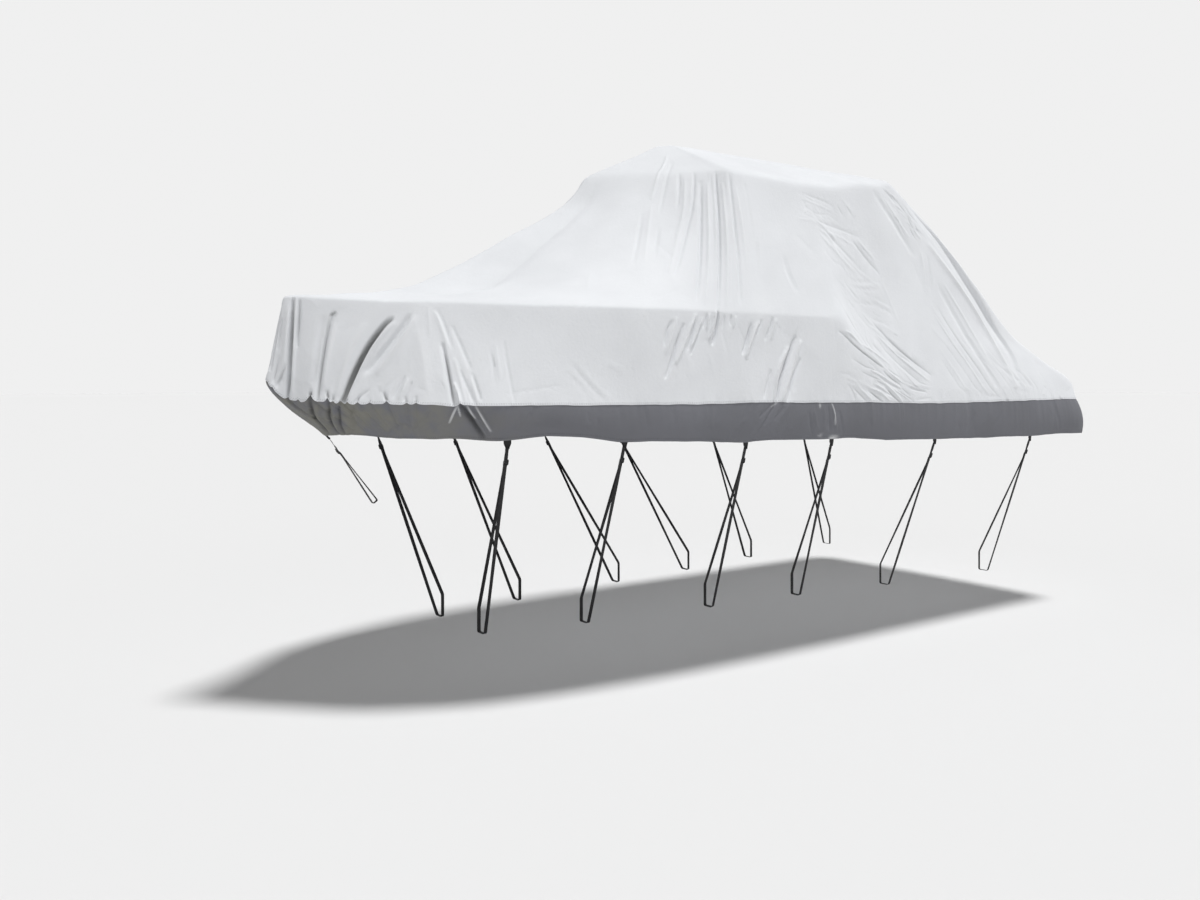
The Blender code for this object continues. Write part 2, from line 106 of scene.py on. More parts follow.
HEM = (
    (0, 0.36, 0.00, 0.124), (1, 0.42, 0.15, 0.132), (2, 0.50, 0.28, 0.130), (3, 0.58, 0.38, 0.124),
    (5, 0.82, 0.63, 0.120), (6, 1.04, 0.90, 0.113), (7, 1.50, 1.06, 0.110), (9, 2.32, 1.18, 0.078),
    (11, 2.75, 1.21, 0.062), (13, 3.55, 1.235, 0.055), (16, 4.45, 1.245, 0.030), (20, 6.40, 1.25, 0.004),
    (21, 6.635, 1.21, 0.003), (22, 6.68, 0.98, 0.003), (24, 6.70, 0.00, 0.003))
PEAK = (3.00, 0.0, 2.208)     # the roof's highest point: station, half-beam, height
ROOF_CAP = 0.10               # how much of the way to the peak lies level with it
# How far the cloth dips on its way from rail to eave, at the bow and at the stern's hips: share of the way
# up, share of the rise
BOW_DIP = (
    (0.00, 0.000), (0.05, 0.032), (0.10, 0.078), (0.175, 0.130), (0.30, 0.222), (0.405, 0.267),
    (0.515, 0.251), (0.676, 0.211), (0.81, 0.180), (0.94, 0.106), (1.00, 0.000))
HIP_DIP = ((0.00, 0.0), (0.15, 0.052), (0.36, 0.110), (0.565, 0.054), (0.735, 0.010), (1.00, 0.0))
BOW_RIBS = (3.0, 10.0)        # the bow's dip dies away over these ribs
HIP_RIBS = (17.0, 20.5)       # and the hips' dip comes in over these
SIDE_SAG = 0.018              # how far the sides sag inwards between rail and eave
SAG_DROP = 0.3                # and downwards, as a share of that
NOSE_LIFT = (1.1, 0.7, 0.070)     # where the seam rides up to starboard of the stem: rib, spread, rise
BAND_BULGE = 0.012            # how far the skirt band swells outwards along the sides,
STERN_BULGE = 0.030           # round the stern
BOW_BULGE = 0.040             # and at the stem
STEM_RIBS = (0.0, 2.5)        # the stem's swell dies away over these ribs
STERN_RIBS = (18.0, 21.0)     # and the stern's comes in over these
STRAP_PULL = (0.5, 0.012)     # the hem's dip at each strap: spread in ribs, depth
# Radii of the soft corners at the rail and at the eave: where it starts, then (from rib, to rib, change)
RAIL_RADIUS = (0.010, (12.6, 14.2, 0.080), (20.5, 22.0, 0.03))
EAVE_RADIUS_PORT = (0.130, (8.5, 10.5, -0.095))
EAVE_RADIUS_STARBOARD = (0.030, (8.5, 10.5, 0.010))
RAIL_PASSES = 240             # rounds of smoothing at the rail, where the grid is finest

# Side straps: rib at the hem, then the station, half-beam and height of the beam's outer lower edge
STRAPS = (
    (6.11, 1.27, 0.33, -1.13), (7.62, 1.96, 0.47, -1.13), (10.67, 2.94, 0.59, -1.13),
    (12.73, 3.73, 0.67, -1.13), (16.25, 4.58, 0.80, -1.13), (18.60, 5.73, 0.90, -1.13))
BEAM_HEIGHT = 0.150
BEAM_WIDTH = 0.080
CORNER = 0.012                # how far before a beam's edge the webbing starts to turn
BOW_STRAP_END = (0.67, 0.0, -0.28)    # the bow eye: station, half-beam, height
BOW_LOOP = 0.034              # width of the bow strap's loop through it

# Small rises (minus is a drop) of the band's hem and of the top cloth's lower edge: rib, metres
HEM_RISE = (
    (0, 0.004), (4.8, 0.0), (5.5, 0.008), (6.0, 0.010), (6.6, 0.032), (7.0, 0.023), (7.5, 0.001), (10, 0.0),
    (10.5, 0.008), (11, 0.014), (12, 0.010), (12.6, 0.017), (13, 0.016), (13.6, 0.003), (14.5, -0.006),
    (15.5, -0.004), (16.2, 0.005), (17.5, -0.006), (18.4, 0.006), (19, 0.011), (20.5, 0.004), (24, 0.0))
SEAM_RISE = (
    (0, 0.0), (0.6, -0.006), (1, -0.010), (1.5, -0.004), (2.2, 0.0), (9.2, 0.0), (10, 0.006), (11, 0.006),
    (12, 0.0), (13.8, -0.002), (14.5, -0.007), (15, -0.0095), (15.5, -0.012), (16.5, -0.018),
    (17.5, -0.0135), (18.5, -0.008), (19.5, -0.004), (20, -0.002), (21, 0.0), (24, 0.0))
# Where the lower edge is drawn up by a small gather: rib, rise, half-width
NOTCHES = (
    (0.20, 0.010, 0.010), (0.46, 0.012, 0.012), (0.98, 0.020, 0.011), (1.34, 0.016, 0.011),
    (1.74, 0.046, 0.021), (2.34, 0.030, 0.011), (2.56, 0.018, 0.011), (2.82, 0.018, 0.012),
    (3.02, 0.014, 0.009), (3.28, 0.016, 0.012), (3.54, 0.011, 0.011), (3.86, 0.020, 0.013),
    (4.20, 0.013, 0.012), (4.36, 0.012, 0.010), (5.10, 0.010, 0.012))
NOTCH_SHIFT = (1.06, 0.05)    # the starboard gathers stand this much further aft: factor and ribs,
NOTCH_SHARE = 0.6             # and are this much lower
NOTCH_REACH = 0.05            # how far up the cloth a gather dies away
SEAM_REACH = 0.12             # and how far up a rise of the lower edge does

# ---- puckers, waves and swells ---------------------------------------------------------------------------
# Random lines round the cover: spacing of their knots, height, what the bow adds to it, seed
PUCKERS = ((0.060, 0.0030, 0.0024, 3), (0.028, 0.0014, 0.00112, 4))
PUCKER_REACH = (0.060, 0.030)     # how far up the cloth each dies away
EDGE_WAVES = ((0.11, 0.0020, 0.0050, 5), (0.045, 0.0008, 0.0022, 6))
BAND_PUCKERS = ((0.05, 0.0016, 0.0030, 31),)
BAND_PUCKER_REACH = 0.06
BAND_WAVES = ((0.30, 0.0030, 0.0, 32), (0.12, 0.0014, 0.0020, 33))
HEM_WAVES = ((0.22, 0.0020, 0.0, 34), (0.09, 0.0010, 0.0010, 35))
# Slow swells of the top cloth: height, then two crossed waves (turn per metre aft, turn per metre up, start)
SWELLS = ((0.0035, (7.1, 3.3, 0.4), (-2.9, 5.7, 1.1)), (0.0016, (13.7, -6.1, 2.0), (4.7, 11.3, 0.3)))
SLIGHT_CREASES = 90           # how many slight random creases lie on the port side,
WALL_CREASES = 60             # on the starboard side's wall,
SLOPE_CREASES = 50            # on the slope above it
BAND_SLIGHT_CREASES = 150     # and on the band

# ---- how fine the cloth's grid is ------------------------------------------------------------------------
# rib, spacing of the columns along the lower edge
COLUMN_STEP = (
    (-24, 0.030), (-21, 0.016), (-20, 0.010), (-16, 0.008), (0, 0.007), (1.5, 0.010), (3, 0.016),
    (12, 0.018), (24, 0.026))
# level from, level to, rows
ROW_STEPS = (
    (0.0, 0.05, 4), (0.05, 0.90, 64), (0.90, 1.00, 10), (1.00, 1.08, 12), (1.08, 1.30, 36),
    (1.30, 1.70, 44), (1.70, 1.90, 30), (1.90, 2.08, 22), (2.08, 2.96, 22))
# Rows of the band as shares of its height: the doubled hem, the even middle (from, to, rows) and the top
HEM_ROWS = (0.0, 0.03, 0.066, 0.080, 0.095)
BAND_ROWS = (0.13, 0.92, 30)
BAND_TOP_ROWS = (0.955, 0.98, 1.0)
HEM_STEP = (0.066, 0.080)     # the doubled hem ends between these shares
HEM_LAYER = 0.0010            # and stands out this much
LAP_ROWS = 3
LAP_BEHIND = 24               # the lap lies behind no more than this many rows of the top cloth
TOP_TRIANGLES = 94000         # on the outer face of the top cloth
BAND_TRIANGLES = 78000        # and of the band

# ---- how a crease is drawn -------------------------------------------------------------------------------
FALLOFF = 3.2                 # a crease has died away this many half-widths from its course
RIB_LENGTH = 0.15             # about the shortest length of one rib,
LEVEL_LENGTH = 0.5            # of one level
LOW_LEVEL_LENGTH = 0.15       # and of one level aft of LOW_RIB, where the rail runs down to the seam
LOW_RIB = 13
ROUND_POWERS = (2.0, 1.6)     # how flat a trough's and a ridge's middle is
SHADE_POWER = 3.0              # and that of a line of painted shade on the top cloth
BAND_MARK_POWER = 2.4         # and of a line of painted shade, and of a painted pale line, on the band
WALL_TOP = 1.1                # creases that end below this level end bluntly, the others run out
BLUNT_END = 0.35
FINE_END = 0.08
BROAD = 0.009                 # folds of this half-width or more are drawn deeper, by this factor and power
DEEPEN = (0.416, 0.75)

# ---- creases of the port side ----------------------------------------------------------------------------
# height (minus is a trough), half-width, lean (sharper forward flank), then its course as (rib, level)
# points, with the ribs counted aft from the stem
CREASES = (
    (-0.024, 0.011, 0, (0.86, 0.98), (0.92, 0.76), (0.96, 0.49), (0.98, 0.24), (0.98, 0.00)),
    (-0.011, 0.009, 0, (1.18, 0.97), (1.20, 0.76), (1.20, 0.52)),
    (0.010, 0.010, 0, (1.06, 0.96), (1.12, 0.53), (1.14, 0.06)),
    (0.008, 0.014, 0, (0.66, 0.90), (0.72, 0.50), (0.74, 0.20)),
    (-0.012, 0.009, 0, (-0.10, 0.89), (0.10, 0.48), (0.20, 0.15)),
    (-0.010, 0.008, 0, (-0.08, 0.30), (-0.08, 0.10)),
    (-0.008, 0.009, 0, (0.30, 0.74), (0.36, 0.42)),
    (-0.011, 0.008, 0, (0.50, 0.34), (0.44, 0.06)),
    (-0.013, 0.008, 0, (0.80, 0.31), (0.58, 0.06)),
    (-0.011, 0.007, 0, (0.96, 0.26), (0.96, 0.00)),
    (-0.020, 0.011, 0, (2.06, 0.86), (1.98, 0.67), (1.96, 0.48), (1.94, 0.28), (1.96, 0.00)),
    (-0.007, 0.020, 0, (1.86, 0.80), (1.80, 0.50), (1.78, 0.16)),
    (0.007, 0.012, 0, (2.14, 0.74), (2.10, 0.44), (2.10, 0.16)),
    (-0.038, 0.014, 0, (3.24, 0.82), (3.12, 0.78), (3.02, 0.68), (2.92, 0.55), (2.88, 0.39), (2.86, 0.26),
     (2.86, 0.12), (2.90, 0.00)),
    (0.012, 0.012, 0, (3.38, 0.78), (3.17, 0.66), (3.05, 0.52), (2.99, 0.36), (2.97, 0.20), (2.98, 0.04)),
    (0.006, 0.017, 0, (2.66, 0.76), (2.56, 0.56), (2.54, 0.32), (2.58, 0.11)),
    (-0.018, 0.018, 0, (3.90, 0.84), (3.58, 0.64), (3.38, 0.48), (3.18, 0.31)),
    (0.009, 0.018, 0, (4.16, 0.84), (3.84, 0.64), (3.62, 0.46), (3.46, 0.30)),
    (-0.008, 0.008, 0, (3.40, 0.13), (3.14, 0.00)),
    (-0.007, 0.008, 0, (4.10, 0.26), (3.96, 0.06)),
    (-0.006, 0.008, 0, (4.24, 0.20), (4.14, 0.02)),
    (0.006, 0.009, 0, (4.18, 0.24), (4.06, 0.05)),
    (-0.016, 0.010, 0, (1.70, 0.09), (1.74, 0.00)),
    (-0.012, 0.007, 0, (2.24, 0.11), (2.30, 0.05), (2.38, 0.00)),
    (-0.010, 0.008, 0, (2.48, 0.07), (2.56, 0.00)),
    (-0.010, 0.008, 0, (2.78, 0.07), (2.84, 0.00)),
    (-0.008, 0.007, 0, (3.24, 0.07), (3.28, 0.00)),
    (-0.012, 0.008, 0, (3.74, 0.12), (3.82, 0.05), (3.88, 0.00)),
    (-0.008, 0.008, 0, (4.16, 0.07), (4.20, 0.00)),
    (-0.008, 0.008, 0, (4.36, 0.07), (4.36, 0.00)),
    (0.006, 0.012, 0, (4.94, 0.89), (5.02, 0.80), (5.06, 0.66), (5.14, 0.50)),
    (-0.019, 0.010, 0.3, (4.98, 0.58), (5.00, 0.42), (5.00, 0.24), (5.00, 0.00)),
    (-0.005, 0.014, 0, (4.98, 0.92), (5.10, 0.76), (5.14, 0.50)),
    (0.014, 0.009, 0, (5.06, 0.20), (5.10, 0.10), (5.10, 0.00)),
    (-0.004, 0.009, 0, (5.24, 0.76), (5.32, 0.58), (5.40, 0.34)),
    (-0.007, 0.007, 0, (5.41, 0.30), (5.46, 0.05)),
    (0.008, 0.008, 0, (5.36, 0.25), (5.40, 0.02)),
    (-0.008, 0.007, 0, (5.22, 0.32), (5.34, 0.01)),
    (0.006, 0.008, 0, (5.16, 0.43), (5.20, 0.01)),
    (-0.0025, 0.009, 0, (5.98, 0.63), (5.96, 0.29), (5.96, 0.02)),
    (0.0025, 0.009, 0, (5.84, 0.58), (5.82, 0.26)),
    (-0.0025, 0.008, 0, (5.76, 0.56), (5.72, 0.20)),
    (0.005, 0.040, 0, (4.34, 0.72), (4.52, 0.43), (4.56, 0.09)),
    (-0.0025, 0.008, 0, (6.96, 0.42), (7.16, 0.20), (7.36, 0.04)),
    (0.0025, 0.008, 0, (7.06, 0.42), (7.26, 0.20), (7.44, 0.06)),
    (-0.002, 0.008, 0, (6.88, 0.32), (7.10, 0.12)),
    (-0.0090, 0.0091, 0, (8.48, 0.87), (8.38, 0.79), (8.32, 0.62)),
    (0.0090, 0.0104, 0, (8.56, 0.90), (8.34, 0.54)),
    (-0.0150, 0.0091, 0, (8.70, 0.84), (8.56, 0.67), (8.46, 0.49), (8.32, 0.28)),
    (0.0144, 0.0091, 0, (9.04, 0.95), (8.86, 0.83), (8.70, 0.65), (8.52, 0.44)),
    (-0.0144, 0.0078, 0, (9.00, 0.88), (8.90, 0.74), (8.76, 0.58)),
    (0.0108, 0.0078, 0, (9.24, 0.92), (9.04, 0.76), (8.84, 0.61)),
    (-0.0108, 0.0078, 0, (9.18, 0.84), (8.96, 0.66), (8.82, 0.53)),
    (-0.0090, 0.0078, 0, (9.44, 0.96), (9.26, 0.82)),
    (0.0090, 0.0078, 0, (9.54, 0.96), (9.34, 0.80)),
    (0.0210, 0.0078, 0, (9.88, 0.99), (9.60, 0.84), (9.38, 0.69)),
    (-0.0210, 0.0078, 0, (10.00, 0.99), (9.72, 0.81), (9.46, 0.64)),
    (-0.0090, 0.0078, 0, (10.56, 0.96), (10.36, 0.86)),
    (0.0090, 0.0078, 0, (10.72, 0.95), (10.44, 0.83)),
    (-0.0072, 0.0078, 0, (10.24, 0.96), (9.98, 0.82)),
    (-0.0162, 0.0091, 0, (11.12, 0.88), (10.82, 0.71), (10.44, 0.55)),
    (0.0162, 0.0091, 0, (11.32, 0.90), (10.96, 0.72), (10.50, 0.51)),
    (-0.0090, 0.0078, 0, (11.40, 0.92), (11.12, 0.76)),
    (-0.0126, 0.0078, 0, (11.64, 0.95), (11.54, 0.85), (11.32, 0.71)),
    (0.0108, 0.0078, 0, (11.70, 0.94), (11.46, 0.72)),
    (-0.0270, 0.0104, 0, (11.98, 0.75), (11.76, 0.56), (11.50, 0.38), (11.12, 0.17), (10.86, 0.00)),
    (0.0150, 0.0104, 0, (11.76, 0.62), (11.28, 0.35), (10.82, 0.02)),
    (0.0180, 0.0104, 0, (12.06, 0.70), (11.80, 0.46), (11.53, 0.28), (11.06, 0.02)),
    (-0.0126, 0.0091, 0, (11.96, 0.50), (11.68, 0.30), (11.22, 0.02)),
    (-0.0090, 0.0091, 0, (11.10, 0.36), (10.58, 0.06)),
    (-0.011, 0.006, 0.2, (13.00, 0.84), (13.42, 0.79), (13.88, 0.85), (14.34, 0.88), (14.76, 0.92)),
    (0.007, 0.007, 0, (13.22, 0.87), (13.96, 1.01), (14.76, 1.05), (15.14, 1.04)),
    (0.004, 0.005, 0, (13.30, 0.90), (13.90, 0.96), (14.60, 1.00)),
    (-0.011, 0.006, 0.2, (15.20, 1.26), (15.64, 1.20), (15.82, 1.17), (16.04, 1.13), (16.22, 1.09),
     (16.40, 1.05)),
    (0.009, 0.006, 0, (15.18, 1.19), (15.64, 1.13), (15.96, 1.08), (16.26, 1.02)),
    (-0.005, 0.005, 0, (15.10, 1.13), (15.50, 1.08), (15.90, 1.02), (16.20, 0.96)),
    (-0.008, 0.0055, 0, (14.72, 0.79), (15.26, 0.61)),
    (0.006, 0.0055, 0, (14.98, 0.90), (15.34, 0.76)),
    (-0.005, 0.005, 0, (15.00, 0.98), (15.34, 0.92)),
    (-0.009, 0.0055, 0, (14.64, 0.35), (14.84, 0.17), (15.04, 0.00)),
    (0.008, 0.0055, 0, (14.60, 0.46), (14.88, 0.33), (15.16, 0.00)),
    (-0.008, 0.005, 0, (13.88, 0.19), (14.14, 0.12), (14.38, 0.01)),
    (0.007, 0.0055, 0, (14.00, 0.25), (14.36, 0.22), (14.66, 0.05)),
    (-0.007, 0.005, 0, (13.32, 0.19), (13.56, 0.11), (13.78, 0.01)),
    (0.005, 0.005, 0, (13.50, 0.23), (13.74, 0.15), (13.98, 0.03)),
    (-0.005, 0.005, 0, (14.62, 1.10), (14.96, 1.08)),
    (-0.005, 0.005, 0, (13.18, 0.21), (13.34, 0.13), (13.38, 0.02)),
    (0.005, 0.005, 0, (14.20, 0.36), (14.56, 0.30)),
    (-0.004, 0.005, 0, (14.30, 0.43), (14.62, 0.40)),
    (-0.005, 0.010, 0, (15.62, 0.63), (16.06, 0.56)),
    (-0.004, 0.006, 0, (15.24, 0.54), (15.48, 0.29)),
    (0.004, 0.006, 0, (15.64, 1.03), (15.96, 0.70)),
    (-0.005, 0.007, 0, (15.58, 1.14), (15.96, 1.11)),
    (-0.004, 0.005, 0, (13.74, 0.46), (14.46, 0.49)),
    (0.004, 0.005, 0, (14.02, 0.61), (14.74, 0.60)),
    (-0.004, 0.005, 0, (13.40, 0.56), (14.00, 0.60), (14.60, 0.70)),
    (-0.004, 0.0045, 0, (14.30, 0.60), (14.84, 0.50), (15.24, 0.42)),
    (0.004, 0.0045, 0, (14.36, 0.66), (14.92, 0.57), (15.34, 0.49)),
    (-0.004, 0.0045, 0, (14.20, 0.30), (14.60, 0.24), (14.90, 0.10)),
    (0.004, 0.0045, 0, (14.90, 0.40), (15.24, 0.26), (15.46, 0.10)),
    (-0.004, 0.0045, 0, (15.06, 0.38), (15.36, 0.22), (15.56, 0.04)),
    (-0.0059, 0.0109, 0, (8.62, 2.02), (8.64, 1.84), (8.60, 1.75)),
    (-0.0080, 0.0105, 0, (8.98, 2.02), (9.02, 1.87), (8.98, 1.74), (8.84, 1.59), (8.70, 1.41),
     (8.56, 1.26)),
    (0.0045, 0.0110, 0, (8.74, 1.99), (8.78, 1.77), (8.62, 1.52), (8.44, 1.27)),
    (-0.0120, 0.0125, 0, (9.26, 1.93), (9.30, 1.82), (9.32, 1.62), (9.28, 1.36), (9.08, 1.07)),
    (0.0075, 0.0120, 0, (9.60, 1.91), (9.66, 1.79), (9.72, 1.54), (9.62, 1.29), (9.38, 1.05)),
    (-0.0120, 0.0092, 0, (10.02, 2.00), (10.10, 1.86), (10.20, 1.70), (10.26, 1.46), (10.20, 1.25),
     (9.96, 0.99)),
    (0.0065, 0.0105, 0, (10.42, 1.90), (10.48, 1.82), (10.60, 1.58), (10.60, 1.33), (10.42, 1.04)),
    (-0.0095, 0.0105, 0, (10.76, 1.99), (10.90, 1.82), (11.00, 1.62), (11.08, 1.40), (10.98, 1.06)),
    (0.0045, 0.0092, 0, (11.08, 1.88), (11.14, 1.79), (11.26, 1.55), (11.26, 1.30)),
    (-0.0035, 0.0080, 0, (9.86, 1.90), (9.94, 1.72), (9.98, 1.46), (9.86, 1.20)),
    (-0.0030, 0.0080, 0, (11.34, 1.96), (11.44, 1.76), (11.48, 1.52)),
    (-0.0034, 0.0116, 0, (11.56, 1.50), (11.50, 1.25)),
    (-0.006, 0.020, 0, (12.12, 1.42), (12.14, 1.31), (12.24, 1.17)),
    (-0.0034, 0.0136, 0, (8.24, 1.62), (8.16, 1.41)),
    (-0.0043, 0.0136, 0, (7.82, 1.73), (7.76, 1.37)),
    (0.0034, 0.015, 0, (8.04, 1.79), (7.96, 1.38)),
    (0.0051, 0.0095, 0, (8.40, 2.57), (8.18, 1.97), (8.02, 1.83)),
    (-0.0034, 0.0116, 0, (8.56, 2.40), (8.34, 1.89), (8.24, 1.71)),
    (-0.0037, 0.0074, 0, (13.30, 1.91), (14.70, 1.91), (15.52, 1.89)),
    (0.0031, 0.0068, 0, (13.08, 1.87), (14.24, 1.87), (15.36, 1.86)),
    (-0.0025, 0.0062, 0, (13.42, 1.79), (15.00, 1.84)),
    (-0.0043, 0.0068, 0, (13.56, 1.75), (14.62, 1.77), (15.78, 1.77), (16.28, 1.74)),
    (0.0031, 0.0068, 0, (13.66, 1.69), (15.10, 1.73), (15.86, 1.70)),
    (-0.0056, 0.0087, 0, (13.94, 1.72), (14.86, 1.67), (15.60, 1.59)),
    (0.005, 0.0087, 0, (13.62, 1.65), (14.58, 1.60), (15.42, 1.54)),
    (-0.0081, 0.0081, 0, (15.88, 1.72), (16.10, 1.65), (16.32, 1.56)),
    (0.0056, 0.0074, 0, (16.12, 1.73), (16.38, 1.63)),
    (-0.0037, 0.0087, 0, (13.96, 1.52), (14.70, 1.53)),
    (-0.0031, 0.0062, 0, (14.80, 1.47), (16.12, 1.52)),
    (-0.0031, 0.0062, 0, (14.78, 1.43), (16.10, 1.48)),
    (0.0025, 0.0062, 0, (14.84, 1.45), (16.12, 1.50)),
    (-0.0037, 0.0068, 0, (15.64, 1.43), (16.18, 1.40)),
    (-0.0037, 0.0068, 0, (14.32, 1.31), (15.54, 1.39), (15.96, 1.36)),
    (0.0031, 0.0062, 0, (15.08, 1.35), (15.74, 1.33)),
    (0.0031, 0.0062, 0, (15.70, 1.42), (16.18, 1.38)),
    (-0.0031, 0.0062, 0, (15.14, 1.29), (15.76, 1.29)),
    (-0.0031, 0.0081, 0, (15.80, 1.90), (15.92, 1.85)),
    (0.0031, 0.0081, 0, (16.20, 1.93), (16.32, 1.87)),
    (-0.0031, 0.0068, 0, (16.24, 1.90), (16.30, 1.84)),
    (-0.007, 0.024, 0, (17.46, 1.96), (17.60, 1.87), (17.70, 1.77), (17.70, 1.66)),
    (0.0045, 0.0085, 0, (17.84, 1.93), (17.92, 1.82), (17.98, 1.74)),
    (-0.0050, 0.0065, 0, (18.10, 1.98), (18.30, 1.95), (18.42, 1.91)),
    (-0.0055, 0.0060, 0, (18.46, 1.94), (18.62, 1.90), (18.64, 1.86)),
    (0.0045, 0.0060, 0, (18.34, 1.97), (18.58, 1.94), (18.76, 1.92)),
    (0.0040, 0.0050, 0, (18.24, 1.91), (18.48, 1.88)),
    (-0.0055, 0.0060, 0, (18.62, 1.85), (18.46, 1.81), (18.40, 1.77)),
    (0.0050, 0.0060, 0, (18.36, 1.82), (18.44, 1.78), (18.50, 1.74)),
    (-0.0045, 0.0050, 0, (18.26, 1.79), (18.20, 1.74)),
    (-0.0045, 0.0050, 0, (18.72, 1.81), (18.56, 1.76)),
    (0.0040, 0.0050, 0, (18.80, 1.86), (18.66, 1.82)),
    (-0.0045, 0.0050, 0, (18.90, 1.88), (18.96, 1.83)),
    (0.0035, 0.0060, 0, (20.52, 1.96), (19.24, 1.91)),
    (0.013, 0.024, 0, (18.70, 1.72), (19.00, 1.56), (19.02, 1.40), (18.58, 1.18), (18.24, 0.92)),
    (-0.026, 0.032, 0.4, (20.30, 1.90), (20.20, 1.74), (20.02, 1.58), (19.76, 1.42), (19.30, 1.26),
     (18.84, 1.13), (18.50, 1.02)),
    (-0.009, 0.028, 0, (18.00, 1.52), (18.02, 1.43), (17.96, 1.32), (17.90, 1.18), (17.84, 0.87)),
    (0.0045, 0.0129, 0, (18.30, 1.54), (18.32, 1.44), (18.22, 1.31), (18.10, 1.16)),
    (-0.0045, 0.0100, 0, (17.54, 1.40), (17.56, 1.28), (17.64, 1.14), (17.72, 0.72), (17.80, 0.30)),
    (0.0035, 0.0095, 0, (17.32, 1.36), (17.36, 1.24), (17.46, 1.12), (17.54, 0.81), (17.62, 0.40)),
    (-0.0030, 0.0085, 0, (17.14, 1.22), (17.24, 1.11), (17.32, 0.96), (17.42, 0.56), (17.46, 0.24)),
    (0.0030, 0.0085, 0, (16.92, 1.19), (17.02, 1.09), (17.10, 0.94), (17.20, 0.60)),
    (-0.0028, 0.0075, 0, (16.80, 1.14), (16.92, 1.03), (17.02, 0.78), (17.12, 0.36)),
    (0.0026, 0.0070, 0, (17.92, 1.18), (17.96, 0.98), (18.00, 0.60), (18.04, 0.24)),
    (-0.0028, 0.0070, 0, (18.14, 1.14), (18.16, 0.90), (18.18, 0.50), (18.20, 0.20)),
    (0.0026, 0.0070, 0, (18.30, 1.12), (18.30, 0.84), (18.32, 0.40)),
    (-0.0042, 0.0085, 0, (18.50, 1.15), (18.46, 0.90), (18.42, 0.52), (18.40, 0.20)),
    (0.0034, 0.0080, 0, (18.58, 1.13), (18.54, 0.96), (18.52, 0.50), (18.50, 0.16)),
    (-0.0042, 0.0085, 0, (18.76, 1.12), (18.66, 0.66), (18.62, 0.30)),
    (0.0034, 0.0080, 0, (18.84, 1.08), (18.78, 0.65), (18.76, 0.24)),
    (-0.0030, 0.0075, 0, (18.90, 1.04), (18.88, 0.58), (18.86, 0.20)),
    (-0.0037, 0.0095, 0, (18.32, 1.67), (17.62, 1.49)),
    (0.0037, 0.0129, 0, (18.12, 1.69), (17.54, 1.52)),
)
# Patches of fine wrinkles: ribs, levels, how many, and which way one runs as a change of rib and level
WRINKLED = (
    (13.2, 15.4, 1.66, 1.92, 44, 0.55, 0.015),
    (14.0, 16.2, 1.48, 1.70, 36, 0.50, 0.050),
    (14.2, 16.2, 1.18, 1.42, 36, 0.50, 0.035),
    (13.6, 15.8, 0.92, 1.16, 30, 0.45, 0.060),
    (13.4, 15.4, 0.06, 0.30, 24, 0.30, 0.060),
    (14.2, 16.4, 0.30, 0.74, 24, 0.34, 0.070),
    (17.6, 19.2, 1.74, 1.95, 36, 0.18, 0.045),
    (17.2, 18.9, 1.02, 1.30, 16, 0.16, 0.140),
    (8.2, 11.2, 1.50, 1.94, 22, 0.03, 0.120),
    (0.4, 4.8, 0.02, 0.16, 30, 0.10, 0.070),
)
